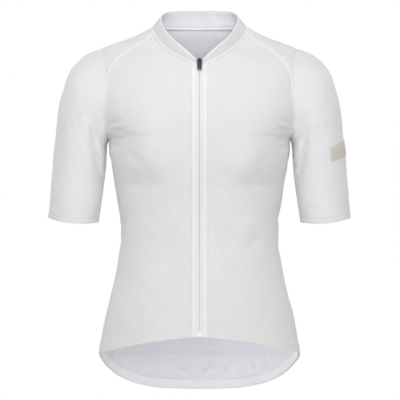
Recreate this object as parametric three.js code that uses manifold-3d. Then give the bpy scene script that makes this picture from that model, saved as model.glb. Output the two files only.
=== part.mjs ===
import * as THREE from 'three';
import { mergeVertices } from 'three/addons/utils/BufferGeometryUtils.js';
import Module from 'manifold-3d';

// A short-sleeved full-zip cycling jersey, filled out as if worn but empty.
// Millimetres. +X is the wearer's left, the front faces -Y and +Z is up.
// The origin is midway between the neck points, on the shoulder line.

// Cloth and seams
const CLOTH = 1.4;
const CUFF_CLOTH = 1.8;
const COLLAR_CLOTH = 2.0;
const SEAM_GAP = 0.3;

// Zip
const STRIP_INNER = 0.2;
const STRIP_OUTER = 4.5;
const PLACKET_OUTER = 12.6;
const FRONT_EDGE = 12.75;
const ZIP_TOP = -61.8;
const STRIP_RISE = 0.5;
const STRIP_CLOTH = 2.2;
const STOP_HEIGHT = 9;
const HINGE_HEIGHT = -57;

// Heights
const YOKE_TIP = -81;
const FRONT_TURN_UP = -465;
const POCKET_SEAM = -543;

// How many rows and columns each piece is drawn with
const BODY_ROWS = 14;
const HEM_ROWS = 3;
const ARMHOLE_ROWS = 6;
const YOKE_ROWS = 6;
const SHOULDER_ROWS = 10;
const FRONT_COLUMNS = 8;
const SIDE_COLUMNS = 5;
const BACK_COLUMNS = 14;
const SLEEVE_RINGS = 14;

const DEGREE = Math.PI / 180;

// Body rings: height, half width at the side, depth in front, depth behind, squareness
const BODY_RINGS = [
  [-625, 167, 110, 121, 2.2],
  [-592, 167, 110, 120, 2.2],
  [-533, 165, 110, 116, 2.2],
  [-500, 160, 109, 111, 2.2],
  [-478, 156, 108, 107, 2.2],
  [-445, 149, 105, 101, 2.15],
  [-412, 140, 101, 94, 2.1],
  [-379, 134, 98, 89, 2.1],
  [-346, 130, 96, 87, 2.1],
  [-313, 131, 96, 88, 2.1],
  [-280, 136, 98, 92, 2.15],
  [-247, 141, 102, 97, 2.25],
  [-214, 147, 106, 102, 2.3],
  [-200, 149, 107, 104, 2.3],
  [-181, 149, 108, 105, 2.3],
  [-170, 158, 108, 106, 2.3],
  [-150, 168, 107, 105, 2.3],
  [-120, 178, 101, 102, 2.25],
  [-90, 181, 89, 96, 2.15],
  [-60, 178, 74, 86, 2.0],
  [-45, 171, 65, 78, 1.8],
  [-31, 160, 55, 70, 1.55],
  [-23, 141, 50, 66, 1.55],
  [-16.5, 122, 46, 63, 1.6],
  [-10, 106, 42, 60, 1.65],
  [-3, 92, 38, 57, 1.8],
  [6, 76, 34, 54, 2.0],
  [20, 52, 30, 48, 2.0],
];

// Bust form: its highest point, width across, reach upward, reach downward, height
const BUST = { x: 88, z: -200, across: 44, up: 62, down: 58, height: 10 };

// Large soft folds: which side of the body, start x and z, end x and z, width, depth (+ out)
const BODY_FOLDS = [
  ['front', -128, -262, -78, -232, 16, -3.5],
  ['front', 128, -262, 84, -233, 16, -3.2],
  ['front', 22, -318, 66, -384, 15, -2.6],
  ['front', -30, -330, -84, -420, 17, -2.0],
  ['front', 96, -300, 60, -352, 14, 2.0],
  ['back', -110, -300, 10, -338, 17, -3.4],
  ['back', 96, -322, -20, -366, 16, -3.0],
  ['back', -96, -210, -30, -262, 18, -2.4],
  ['back', 100, -196, 34, -240, 18, -2.4],
];

// Side seam in front, as height and degrees from the centre front; the rear one mirrors it
const SIDE_SEAM = [
  [-620, 68.5],
  [-530, 68.7],
  [-503, 69],
  [-465, 69.5],
  [-427, 70],
  [-389, 69],
  [-346, 67.7],
  [-311, 67],
  [-280, 64.8],
  [-258, 66],
  [-245, 69],
  [-232, 74],
  [-218, 80.5],
  [-205, 83.6],
];

// Hem height by degrees round from the centre front
const HEM = [
  [0, -498.5],
  [22.5, -502.4],
  [42.8, -509.5],
  [64.7, -521.7],
  [78, -528.3],
  [90, -534.5],
  [99.5, -546.7],
  [108.9, -561.9],
  [118.7, -577.8],
  [133.2, -593.6],
  [151.8, -602.4],
  [180, -605],
];

// Armhole seam seen from in front: height and distance from the centre
const ARMHOLE = [
  [-180, 148.8],
  [-176, 150],
  [-165, 151.8],
  [-143, 154.5],
  [-122, 153.8],
  [-101, 152.6],
  [-79, 152.6],
  [-59, 153.8],
  [-44, 156],
  [-31, 160.6],
];
const ARMHOLE_MIDDLE = -105.5;
const ARMHOLE_HALF = 74.5;

// Front neckline: distance from the centre and height
const NECKLINE_FRONT = [
  [4.8, -65.7],
  [12.6, -61.0],
  [26.9, -53.3],
  [43, -45.1],
  [53.1, -38.1],
  [64.5, -27.2],
  [73.7, -14.5],
  [77.6, -6.5],
];

// Neckline over the shoulder and round the back: degrees from the centre front and height
const NECKLINE_SIDE = [
  [80, -6.5],
  [90, 4],
  [104, 6],
  [124, 6],
];
const NECKLINE_BACK = 6;

// Front yoke seam between the armhole and the collar: distance from the centre and height
const YOKE_SEAM = [
  [152.6, -81],
  [146, -64.5],
  [133.5, -49],
  [116, -34.5],
  [91, -18.5],
  [77.6, -6.5],
];

// Collar top edge, from the centre front round to the centre back: x, y and height
const COLLAR_TOP = [
  [4.7, -70.5, -53.8],
  [13, -69, -45.8],
  [27, -63, -32.9],
  [44.4, -50, -17],
  [54.7, -35, -3.3],
  [59.8, -20, 7],
  [62.4, -5, 16.2],
  [62.6, 8, 23.6],
  [58.5, 24, 30],
  [47, 36, 34],
  [28, 45, 35.8],
  [0, 48.5, 36.3],
];

// Sleeve rings: top point x and z, underarm point x and z, half depth, forward shift
const SLEEVE_RINGS_AT = [
  [160.6, -31, 149.6, -180, 55, 0],
  [177, -36, 151.6, -186, 55, 0],
  [197, -49, 152.6, -191, 54.5, -1],
  [214, -69, 153, -196, 54, -2],
  [225, -102, 153.2, -202, 53, -3],
  [232, -130, 153.4, -211, 52, -4],
  [236, -168, 154, -224, 51, -5],
  [240, -207, 155.6, -241, 50, -6],
  [243.5, -247, 158.4, -265, 49, -7],
  [246.5, -285, 162.2, -293, 48, -8],
  [248.5, -309, 166.5, -317, 47.5, -8],
];
const CUFF_SAG = 5;
const CUFF_PART = 0.031;

// Sleeve folds: share of the length, degrees round from the top, length share, width, depth
const SLEEVE_FOLDS = [
  [0.42, 128, 0.2, 15, -3.4],
  [0.36, 104, 0.16, 15, 2.2],
  [0.62, 150, 0.16, 17, -2.2],
  [0.4, -126, 0.22, 15, -3.2],
  [0.58, -100, 0.18, 18, 2.0],
];

// Pockets on the back
const POCKET_TOP_ROW = 8;
const POCKET_CLOTH = 1.2;
const POCKET_LIFT = 0.5;
const POCKET_SLACK = 2.4;
const POCKET_BAND_ROWS = [0.02, 0.42];
const POCKET_DIVIDERS = [4, 10];

// Facing inside the hem and the label on the sleeve
const GRIPPER_HEIGHT = 17;
const GRIPPER_CLOTH = 1.2;
const GRIPPER_LIFT = 0.5;
const LABEL_CLOTH = 0.9;
const LABEL_LIFT = 0.4;
const LABEL_RINGS = [9.65, 9, 8.53];
const LABEL_COLUMNS = [0.1, 1, 2, 3, 4, 5, 5.8];

// Slider: half outline in its own plane (x and z from the hinge), face and depth
const SLIDER_OUTLINE = [
  [2.6, -4.2],
  [3.5, -3.2],
  [3.9, -0.6],
  [4.1, 1.8],
  [3.6, 3.0],
  [2.9, 3.5],
  [2.5, 4.6],
  [1.4, 5.3],
];
const SLIDER_FACE = -2;
const SLIDER_DEPTH = 3;

// Bridge over the pull's cross bar, from the side: z from the hinge, y from the slider's face
const BRIDGE_OUTLINE = [
  [-2.6, 0.4],
  [-2.6, -2.2],
  [-1.7, -3.3],
  [1.7, -3.3],
  [2.6, -2.2],
  [2.6, 0.4],
];
const BRIDGE_WINDOW = [
  [-1.5, 0],
  [-1.5, -2],
  [-1.1, -2.4],
  [1.1, -2.4],
  [1.5, -2],
  [1.5, 0],
];
const BRIDGE_WIDTH = 1.8;
const BRIDGE_MIDDLE = 1.2;
const TAB = { top: 3.3, half: 3.8, bar: 0.55, shoulder: 3, length: 19, eye: 1.5, eyeEnd: 3.5 };

const COLOURS = {
  knit: { color: '#e6e6e6', roughness: 0.9 },
  smooth: { color: '#e9e8ec', roughness: 0.82 },
  facing: { color: '#dcdae0', roughness: 0.85 },
  zip: { color: '#e4e4ea', roughness: 0.55 },
  black: { color: '#0d0d0e', roughness: 0.35, metalness: 0.2 },
  label: { color: '#c9b79c', roughness: 0.7 },
};

const wasm = await Module();
wasm.setup();

function between(a, b, share) {
  return a + (b - a) * share;
}

function smoothStep(value, low, high) {
  const share = Math.min(1, Math.max(0, (value - low) / (high - low)));
  return share * share * (3 - 2 * share);
}

// Smooth curve through a table whose first column rises, read at one value
function makeCurve(table, keyColumn, valueColumn) {
  const keys = table.map((row) => row[keyColumn]);
  const values = table.map((row) => row[valueColumn]);
  const slopes = keys.map((key, i) => {
    if (i === 0 || i === keys.length - 1) {
      const j = i === 0 ? 0 : i - 1;
      return (values[j + 1] - values[j]) / (keys[j + 1] - keys[j]);
    }
    const before = (values[i] - values[i - 1]) / (key - keys[i - 1]);
    const after = (values[i + 1] - values[i]) / (keys[i + 1] - key);
    return before * after <= 0 ? 0 : (2 * before * after) / (before + after);
  });
  return (key) => {
    let i = 0;
    while (i < keys.length - 2 && key > keys[i + 1]) {
      i += 1;
    }
    const span = keys[i + 1] - keys[i];
    const t = Math.min(1, Math.max(0, (key - keys[i]) / span));
    const t2 = t * t;
    const t3 = t2 * t;
    return (
      values[i] * (2 * t3 - 3 * t2 + 1) +
      slopes[i] * span * (t3 - 2 * t2 + t) +
      values[i + 1] * (3 * t2 - 2 * t3) +
      slopes[i + 1] * span * (t3 - t2)
    );
  };
}

// Curve through a list of points, spaced by the distance between them
function makePath(points) {
  const along = [0];
  for (let i = 1; i < points.length; i += 1) {
    const step = Math.hypot(...points[i].map((value, k) => value - points[i - 1][k]));
    along.push(along[i - 1] + step);
  }
  const total = along[along.length - 1];
  const table = points.map((point, i) => [along[i] / total, ...point]);
  const curves = points[0].map((_, k) => makeCurve(table, 0, k + 1));
  return (share) => curves.map((curve) => curve(share));
}

const halfWidth = makeCurve(BODY_RINGS, 0, 1);
const frontDepth = makeCurve(BODY_RINGS, 0, 2);
const backDepth = makeCurve(BODY_RINGS, 0, 3);
const squareness = makeCurve(BODY_RINGS, 0, 4);
const hemByAngle = makeCurve(HEM, 0, 1);
const armholeX = makeCurve(ARMHOLE, 0, 1);

// A soft trough or ridge that fades at both ends
function foldDepth(x, z, fold) {
  const [, startX, startZ, endX, endZ, width, depth] = fold;
  const length = Math.hypot(endX - startX, endZ - startZ);
  const along = ((x - startX) * (endX - startX) + (z - startZ) * (endZ - startZ)) / length;
  const across = ((x - startX) * (endZ - startZ) - (z - startZ) * (endX - startX)) / length;
  const middle = (along - length / 2) / (length * 0.5);
  return depth * Math.exp(-middle * middle * 1.4 - (across / width) ** 2);
}

// The bust rises slowly from above and ends in a steeper slope below
function bustRelief(x, z) {
  const side = (Math.abs(x) - BUST.x) / BUST.across;
  const above = Math.exp(-(((z - BUST.z) / BUST.up) ** 2));
  const below = 1 - smoothStep(((BUST.z - z) / BUST.down) ** 2, 0, 1);
  return BUST.height * Math.exp(-side * side) * (z > BUST.z ? above : below);
}

function relief(x, z, facing) {
  const side = facing > 0 ? 'front' : 'back';
  const folds = BODY_FOLDS.filter((fold) => fold[0] === side);
  const total = folds.reduce((sum, fold) => sum + foldDepth(x, z, fold), 0);
  const form = facing > 0 ? bustRelief(x, z) : 0;
  return (total + form) * smoothStep(Math.abs(facing), 0, 0.45);
}

// Point on the body form, by angle from the centre front (positive to +X) and height
function bodyPoint(angle, z) {
  const sine = Math.sin(angle);
  const cosine = Math.cos(angle);
  const depth = cosine > 0 ? frontDepth(z) : backDepth(z);
  const power = squareness(z);
  const across = (Math.abs(sine) / halfWidth(z)) ** power;
  const deep = (Math.abs(cosine) / depth) ** power;
  const reach = (across + deep) ** (-1 / power);
  const x = reach * sine;
  const out = relief(x, z, cosine);
  return new THREE.Vector3(x, -reach * cosine - Math.sign(cosine) * out, z);
}

function bodyNormal(angle, z) {
  const round = bodyPoint(angle + 0.004, z).sub(bodyPoint(angle - 0.004, z));
  const up = bodyPoint(angle, z + 0.6).sub(bodyPoint(angle, z - 0.6));
  return round.cross(up).normalize();
}

// Angle at which the form stands at distance x from the centre, in front
function angleAt(x, z) {
  const share = Math.min(1, Math.abs(x) / halfWidth(z));
  const power = squareness(z);
  const deep = frontDepth(z) * (1 - share ** power) ** (1 / power);
  return Math.atan2(x, deep);
}

function armholeFront(turn) {
  const z = ARMHOLE_MIDDLE + ARMHOLE_HALF * Math.cos(turn);
  return [angleAt(armholeX(z), z), z];
}

function armholeBack(turn) {
  const [angle, z] = armholeFront(turn);
  return [Math.PI - angle, z];
}

const YOKE_TURN = Math.acos((YOKE_TIP - ARMHOLE_MIDDLE) / ARMHOLE_HALF);
const UNDERARM_TURN = 168 * DEGREE;
const [UNDERARM_ANGLE, UNDERARM_HEIGHT] = armholeFront(UNDERARM_TURN);
const sideSeam = makeCurve([...SIDE_SEAM, [UNDERARM_HEIGHT, UNDERARM_ANGLE / DEGREE]], 0, 1);

// Top of the side panel: the short underarm part of the armhole, from front to rear
function underarm(share) {
  const angle = between(UNDERARM_ANGLE, Math.PI - UNDERARM_ANGLE, share);
  return [angle, UNDERARM_HEIGHT - 1.2 * Math.sin(share * Math.PI)];
}

// Heights of a body row: level down to the last drape row, then sharing out the rest to the hem
function bodyRow(row, angle) {
  const degrees = Math.acos(Math.cos(angle)) / DEGREE;
  const level = between(FRONT_TURN_UP, POCKET_SEAM, smoothStep(degrees, 69, 111));
  if (row <= BODY_ROWS) {
    return between(UNDERARM_HEIGHT, level, row / BODY_ROWS);
  }
  return between(level, hemByAngle(degrees), (row - BODY_ROWS) / HEM_ROWS);
}

// Angle and height where a body row meets a line that is given as an angle for each height
function meet(row, angleOfHeight) {
  let angle = angleOfHeight(-300);
  for (let pass = 0; pass < 12; pass += 1) {
    angle = angleOfHeight(bodyRow(row, angle));
  }
  return [angle, bodyRow(row, angle)];
}

const sideAngle = (z) => sideSeam(z) * DEGREE;
const rearAngle = (z) => Math.PI - sideSeam(z) * DEGREE;

const neckFrontPath = makePath(NECKLINE_FRONT);
const neckSidePath = makePath(NECKLINE_SIDE);
const yokePath = makePath(YOKE_SEAM);

function neckFront(share) {
  const [x, z] = neckFrontPath(share);
  return [angleAt(x, z), z];
}

const yokeEnd = neckFront(1);

function neckSide(share) {
  const [degrees, z] = neckSidePath(share);
  const start = yokeEnd[0] - NECKLINE_SIDE[0][0] * DEGREE;
  return [degrees * DEGREE + start * (1 - share), z];
}

const neckRear = neckSide(1);

function yokeFront(share) {
  const [x, z] = yokePath(share);
  return [angleAt(x, z), z];
}

// The rear yoke seam has the same rise as the front one and leans to the rear neckline
function yokeBack(share) {
  const [angle, z] = yokeFront(share);
  const rise = (z - YOKE_TIP) / (yokeEnd[1] - YOKE_TIP);
  const lean = Math.max(0, rise) ** 1.6;
  const end = neckRear[0] - (Math.PI - yokeEnd[0]);
  return [Math.PI - angle + end * lean, z + (neckRear[1] - yokeEnd[1]) * lean];
}

function rowsBetween(firsts, lasts, columns) {
  return firsts.map((first, i) => {
    const row = [];
    for (let j = 0; j <= columns; j += 1) {
      row.push([between(first[0], lasts[i][0], j / columns), between(first[1], lasts[i][1], j / columns)]);
    }
    return row;
  });
}

function bodyRows(first, last, columns) {
  const rows = [];
  for (let i = BODY_ROWS + HEM_ROWS; i >= 0; i -= 1) {
    const start = meet(i, first);
    const end = last(i);
    const row = [];
    for (let j = 0; j <= columns; j += 1) {
      const angle = between(start[0], end[0], j / columns);
      row.push([angle, bodyRow(i, angle)]);
    }
    rows.push(row);
  }
  return rows;
}

function steps(count, from, to, make) {
  const list = [];
  for (let i = from; i <= to; i += 1) {
    list.push(make(i / count));
  }
  return list;
}

const zipAngle = (x) => (z) => angleAt(x, z);

// Turns rows of angle and height into points and outward directions on the body form
function onBody(rows) {
  return rows.map((row) =>
    row.map(([angle, z]) => ({ point: bodyPoint(angle, z), normal: bodyNormal(angle, z) })),
  );
}

// Draws the named edges of a piece back by half a seam gap, along the surface
function drawBack(grid, edges = ['bottom', 'top', 'first', 'last']) {
  const rows = grid.length;
  const columns = grid[0].length;
  const ways = grid.map((row) => row.map(() => []));
  for (const name of edges) {
    const upright = name === 'first' || name === 'last';
    const count = upright ? rows : columns;
    const fixed = name === 'bottom' || name === 'first' ? 0 : (upright ? columns : rows) - 1;
    const next = fixed === 0 ? 1 : fixed - 1;
    const cellAt = (k, side) => (upright ? grid[k][side] : grid[side][k]);
    for (let k = 0; k < count; k += 1) {
      const along = cellAt(Math.min(count - 1, k + 1), fixed).point.clone();
      along.sub(cellAt(Math.max(0, k - 1), fixed).point);
      const nearest = Math.min(Math.max(k, 1), count - 2);
      const inner = cellAt(nearest, next).point.clone().sub(cellAt(nearest, fixed).point);
      const way = along.cross(cellAt(k, fixed).normal).normalize();
      const list = upright ? ways[k][fixed] : ways[fixed][k];
      list.push(way.dot(inner) < 0 ? way.negate() : way);
    }
  }
  joinTip(grid, ways);
  grid.forEach((row, i) => row.forEach((cell, j) => cell.point.add(mitre(ways[i][j]))));
  return grid;
}

// A row that has shrunk to one point moves as one
function joinTip(grid, ways) {
  const last = grid.length - 1;
  const end = grid[0].length - 1;
  if (grid[last][0].point.distanceTo(grid[last][end].point) > 0.01) {
    return;
  }
  const both = [ways[last][0][0], ways[last][end][0]];
  ways[last].forEach((_, j) => {
    ways[last][j] = both;
    grid[last][j].point.copy(grid[last][0].point);
  });
}

// The move that clears one edge, or both edges at a corner
function mitre(ways) {
  const move = new THREE.Vector3();
  ways.forEach((way) => move.add(way));
  const spreadOut = ways.length < 2 ? 1 : Math.max(0.06, 1 + ways[0].dot(ways[1]));
  return move.multiplyScalar(SEAM_GAP / 2 / spreadOut);
}

// Closed shell between a grid of outer points and the same points moved in by the cloth
function shell(grid, cloth, round = false) {
  const rows = grid.length;
  const columns = grid[0].length;
  const positions = [];
  for (const side of [0, 1]) {
    for (const row of grid) {
      for (const { point, normal, inner } of row) {
        const own = side === 0 || !inner ? point.clone() : inner.clone();
        if (side === 1 && !inner) {
          own.addScaledVector(normal, -cloth);
        }
        positions.push(own);
      }
    }
  }
  const at = (side, i, j) => side * rows * columns + i * columns + (j % columns);
  const faces = [];
  const quad = (a, b, c, d) => {
    faces.push([a, b, c], [a, c, d]);
  };
  const lastColumn = round ? columns : columns - 1;
  for (let i = 0; i < rows - 1; i += 1) {
    for (let j = 0; j < lastColumn; j += 1) {
      quad(at(0, i, j), at(0, i, j + 1), at(0, i + 1, j + 1), at(0, i + 1, j));
      quad(at(1, i, j), at(1, i + 1, j), at(1, i + 1, j + 1), at(1, i, j + 1));
    }
  }
  for (let j = 0; j < lastColumn; j += 1) {
    quad(at(0, 0, j), at(1, 0, j), at(1, 0, j + 1), at(0, 0, j + 1));
    quad(at(0, rows - 1, j), at(0, rows - 1, j + 1), at(1, rows - 1, j + 1), at(1, rows - 1, j));
  }
  const end = columns - 1;
  for (let i = 0; i < rows - 1 && !round; i += 1) {
    quad(at(0, i, 0), at(0, i + 1, 0), at(1, i + 1, 0), at(1, i, 0));
    quad(at(0, i, end), at(1, i, end), at(1, i + 1, end), at(0, i + 1, end));
  }
  return closedGeometry(positions, faces);
}

// Merges points that fall together, drops the faces that vanish and turns the rest outward
function closedGeometry(positions, faces) {
  const geometry = new THREE.BufferGeometry();
  const flat = positions.flatMap((point) => [point.x, point.y, point.z]);
  geometry.setAttribute('position', new THREE.Float32BufferAttribute(flat, 3));
  geometry.setIndex(faces.flat());
  const merged = mergeVertices(geometry, 1e-3);
  const index = Array.from(merged.getIndex().array);
  const kept = [];
  for (let k = 0; k < index.length; k += 3) {
    const [a, b, c] = index.slice(k, k + 3);
    if (a !== b && b !== c && a !== c) {
      kept.push([a, b, c]);
    }
  }
  const position = merged.getAttribute('position');
  const corner = (i) => new THREE.Vector3().fromBufferAttribute(position, i);
  const volume = kept.reduce(
    (sum, [a, b, c]) => sum + corner(a).dot(corner(b).cross(corner(c))) / 6,
    0,
  );
  merged.setIndex(kept.flatMap(([a, b, c]) => (volume < 0 ? [a, c, b] : [a, b, c])));
  merged.computeVertexNormals();
  return merged;
}

const group = new THREE.Group();

function addPiece(name, geometry, look) {
  const material = new THREE.MeshStandardMaterial(COLOURS[look]);
  const mesh = new THREE.Mesh(geometry, material);
  mesh.name = name;
  group.add(mesh);
  return mesh;
}

function mirrored(grid) {
  return grid.map((row) =>
    row
      .map(({ point, normal, inner }) => ({
        point: new THREE.Vector3(-point.x, point.y, point.z),
        normal: new THREE.Vector3(-normal.x, normal.y, normal.z),
        inner: inner && new THREE.Vector3(-inner.x, inner.y, inner.z),
      }))
      .reverse(),
  );
}

function addPair(name, grid, cloth, look, round = false) {
  addPiece(`${name}_left`, shell(grid, cloth, round), look);
  addPiece(`${name}_right`, shell(mirrored(grid), cloth, round), look);
}

// Edge of the body above the armpit in front: up the armhole, then up the yoke seam
function frontOuterEdge() {
  const armhole = steps(ARMHOLE_ROWS, 1, ARMHOLE_ROWS, (share) =>
    armholeFront(between(UNDERARM_TURN, YOKE_TURN, share)),
  );
  return [...armhole, ...steps(YOKE_ROWS, 1, YOKE_ROWS, yokeFront)];
}

// Upright edge beside the zip above the armpit, ending on the neckline at x
function uprightEdge(x) {
  const top = neckHeight(x);
  return steps(ARMHOLE_ROWS, 1, ARMHOLE_ROWS, (share) => {
    const z = between(UNDERARM_HEIGHT, top, share);
    return [angleAt(x, z), z];
  });
}

const neckHeight = makeCurve(NECKLINE_FRONT, 0, 1);
const neckStart = NECKLINE_FRONT.findIndex(([x]) => x >= PLACKET_OUTER);
const openNeckPath = makePath([[FRONT_EDGE, neckHeight(FRONT_EDGE)], ...NECKLINE_FRONT.slice(neckStart + 1)]);

function openNeck(share) {
  const [x, z] = openNeckPath(share);
  return [angleAt(x, z), z];
}

// Front halves
const lowerFront = bodyRows(zipAngle(FRONT_EDGE), (row) => meet(row, sideAngle), FRONT_COLUMNS);
const frontInner = [...uprightEdge(FRONT_EDGE), ...steps(YOKE_ROWS, 1, YOKE_ROWS, openNeck)];
const upperFront = rowsBetween(frontInner, frontOuterEdge(), FRONT_COLUMNS);
const frontGrid = drawBack(onBody([...lowerFront, ...upperFront]), ['first', 'last']);
addPair('front', frontGrid, CLOTH, 'knit');

// Side panels
const sideRows = bodyRows(sideAngle, (row) => meet(row, rearAngle), SIDE_COLUMNS);
sideRows[sideRows.length - 1] = steps(SIDE_COLUMNS, 0, SIDE_COLUMNS, underarm);
const sideGrid = drawBack(onBody(sideRows), ['top', 'first', 'last']);
addPair('side', sideGrid, CLOTH, 'knit');

// Back, in one piece across the centre
const acrossBack = ([angle, z]) => [2 * Math.PI - angle, z];
const lowerBack = bodyRows(rearAngle, (row) => acrossBack(meet(row, rearAngle)), BACK_COLUMNS);
const backEdge = [
  ...steps(ARMHOLE_ROWS, 1, ARMHOLE_ROWS, (share) =>
    armholeBack(between(UNDERARM_TURN, YOKE_TURN, share)),
  ),
  ...steps(YOKE_ROWS, 1, YOKE_ROWS, yokeBack),
];
const upperBack = rowsBetween(backEdge, backEdge.map(acrossBack), BACK_COLUMNS);
const backGrid = drawBack(onBody([...lowerBack, ...upperBack]), ['top', 'first', 'last']);
addPiece('back', shell(backGrid, CLOTH), 'knit');

// Shoulder yokes, spread between the two yoke seams, the collar and the sleeve head
const armholeTop = (share) => {
  const turn = between(YOKE_TURN, -YOKE_TURN, share);
  return turn >= 0 ? armholeFront(turn) : armholeBack(-turn);
};

function spread(u, v) {
  const corners = [armholeTop(0), armholeTop(1), neckSide(0), neckSide(1)];
  return [0, 1].map((k) => {
    const across = between(armholeTop(u)[k], neckSide(u)[k], v);
    const along = between(yokeFront(v)[k], yokeBack(v)[k], u);
    const low = between(corners[0][k], corners[1][k], u);
    const high = between(corners[2][k], corners[3][k], u);
    return across + along - between(low, high, v);
  });
}

const shoulderRows = steps(YOKE_ROWS, 0, YOKE_ROWS, (v) =>
  steps(SHOULDER_ROWS, 0, SHOULDER_ROWS, (u) => spread(u, v)),
);
addPair('shoulder', drawBack(onBody(shoulderRows)), CLOTH, 'smooth');

// Strips that run up beside the zip, from the hem plus a start height to a top height
function uprightGrid(inner, outer, start, topOf) {
  const low = bodyRows(zipAngle(inner), (row) => meet(row, zipAngle(outer)), 1);
  low[0] = low[0].map(([angle, z]) => [angle, z + start]);
  const [first, last] = [inner, outer].map((x) =>
    steps(ARMHOLE_ROWS, 1, ARMHOLE_ROWS, (share) => {
      const z = between(UNDERARM_HEIGHT, topOf(x), share);
      return [angleAt(x, z), z];
    }),
  );
  return onBody([...low, ...rowsBetween(first, last, 1)]);
}

function moveOut(grid, distance) {
  grid.forEach((row) => row.forEach((cell) => cell.point.addScaledVector(cell.normal, distance)));
  return grid;
}

// Plackets, and the narrow raised strips over the zip's teeth
const placketGrid = uprightGrid(STRIP_OUTER + SEAM_GAP, PLACKET_OUTER, 0, neckHeight);
addPair('placket', drawBack(placketGrid, ['top']), CLOTH, 'smooth');
const stripGrid = uprightGrid(STRIP_INNER, STRIP_OUTER, STOP_HEIGHT + SEAM_GAP, () => ZIP_TOP);
addPair('zip_strip', moveOut(stripGrid, STRIP_RISE), STRIP_CLOTH, 'zip');

// Bottom box of the zip
const stopMiddle = hemByAngle(0) + STOP_HEIGHT / 2;
const stop = addPiece('zip_stop', new THREE.BoxGeometry(8.8, 3.2, STOP_HEIGHT - 0.4), 'zip');
stop.position.set(0, bodyPoint(0, stopMiddle).y + 0.7, stopMiddle);

// Collar band from one zip edge round the neck to the other
const collarPath = makePath(COLLAR_TOP);
const neckPoints = [
  neckFront(0),
  ...steps(YOKE_ROWS, 0, YOKE_ROWS, openNeck),
  ...steps(SHOULDER_ROWS, 1, SHOULDER_ROWS, neckSide),
];
const backNeck = backEdge[backEdge.length - 1];
const halfBack = BACK_COLUMNS / 2;
const backSeam = steps(BACK_COLUMNS, 1, halfBack, (share) => [
  between(backNeck[0], 2 * Math.PI - backNeck[0], share),
  NECKLINE_BACK,
]);
const halfSeam = [...neckPoints, ...backSeam];

// Share of the way round the collar for each point of the neckline
const seamPoints = halfSeam.map(([angle, z]) => bodyPoint(angle, z));
const seamLengths = seamPoints.map((point, i) => (i === 0 ? 0 : point.distanceTo(seamPoints[i - 1])));
const seamTotal = seamLengths.reduce((sum, length) => sum + length, 0);
let walked = 0;
const seamShares = seamLengths.map((length) => {
  walked += length;
  return walked / seamTotal;
});

const COLLAR_ROWS = 3;
function collarColumn(i) {
  const low = seamPoints[i];
  const high = new THREE.Vector3(...collarPath(seamShares[i]));
  const column = [];
  for (let k = 0; k <= COLLAR_ROWS; k += 1) {
    const share = k / COLLAR_ROWS;
    const point = low.clone().lerp(high, share);
    const outward = bodyNormal(...halfSeam[i]);
    point.addScaledVector(outward, Math.sin(share * Math.PI) * 1.2);
    column.push(point);
  }
  return column;
}

const halfColumns = halfSeam.map((_, i) => collarColumn(i));
const flipX = (point) => new THREE.Vector3(-point.x, point.y, point.z);
const allColumns = [
  ...halfColumns,
  ...halfColumns
    .slice(0, -1)
    .reverse()
    .map((column) => column.map(flipX)),
];

// Outward directions of a grid of points, from its own neighbours
function ownNormals(points, round = false) {
  const rows = points.length;
  const columns = points[0].length;
  const wrap = (j) => (round ? (j + columns) % columns : Math.min(columns - 1, Math.max(0, j)));
  return points.map((row, i) =>
    row.map((point, j) => {
      const along = row[wrap(j + 1)].clone().sub(row[wrap(j - 1)]);
      const up = points[Math.min(rows - 1, i + 1)][j].clone().sub(points[Math.max(0, i - 1)][j]);
      return { point: point.clone(), normal: along.cross(up).normalize() };
    }),
  );
}

const collarRows = steps(COLLAR_ROWS, 0, COLLAR_ROWS, (share) =>
  allColumns.map((column) => column[Math.round(share * COLLAR_ROWS)]),
);
const collarGrid = ownNormals(collarRows);
collarGrid[0].forEach((cell, j) => {
  const up = collarGrid[1][j].point.clone().sub(cell.point).normalize();
  cell.point.addScaledVector(up, SEAM_GAP * 1.2);
});
addPiece('collar', shell(collarGrid, COLLAR_CLOTH), 'smooth');

// Sleeves: the first ring lies on the armhole seam, the rest are worked out from the sizes
const armholeLoop = [
  ...steps(SHOULDER_ROWS, 0, SHOULDER_ROWS, armholeTop),
  ...steps(ARMHOLE_ROWS, 1, ARMHOLE_ROWS, (share) =>
    armholeBack(between(YOKE_TURN, UNDERARM_TURN, share)),
  ),
  ...steps(SIDE_COLUMNS, 1, SIDE_COLUMNS, (share) => underarm(1 - share)),
  ...steps(ARMHOLE_ROWS, 1, ARMHOLE_ROWS - 1, (share) =>
    armholeFront(between(UNDERARM_TURN, YOKE_TURN, share)),
  ),
];
const loopCells = armholeLoop.map(([angle, z]) => ({
  point: bodyPoint(angle, z),
  normal: bodyNormal(angle, z),
}));

const sleevePath = makePath(SLEEVE_RINGS_AT);
function sleeveFrame(share) {
  const [topX, topZ, underX, underZ, half, shift] = sleevePath(share);
  const top = new THREE.Vector3(topX, shift, topZ);
  const under = new THREE.Vector3(underX, shift, underZ);
  const middle = top.clone().add(under).multiplyScalar(0.5);
  const arm = top.clone().sub(under).multiplyScalar(0.5);
  return { middle, arm, half };
}

function sleeveFold(share, turn) {
  return SLEEVE_FOLDS.reduce((sum, [at, degrees, length, width, depth]) => {
    const along = (share - at) / length;
    const slant = degrees + along * 14;
    const across = (turn / DEGREE - slant) / width;
    return sum + depth * Math.exp(-along * along - across * across);
  }, 0);
}

function ringPoint(share, turn) {
  const { middle, arm, half } = sleeveFrame(share);
  const grown = 1 + sleeveFold(share, turn) / half;
  const sag = CUFF_SAG * Math.sin(turn) ** 2 * smoothStep(share, 0.5, 1);
  const point = middle.clone().addScaledVector(arm, Math.cos(turn) * grown);
  point.y -= Math.sin(turn) * half * grown;
  point.z -= sag;
  return point;
}

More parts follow.
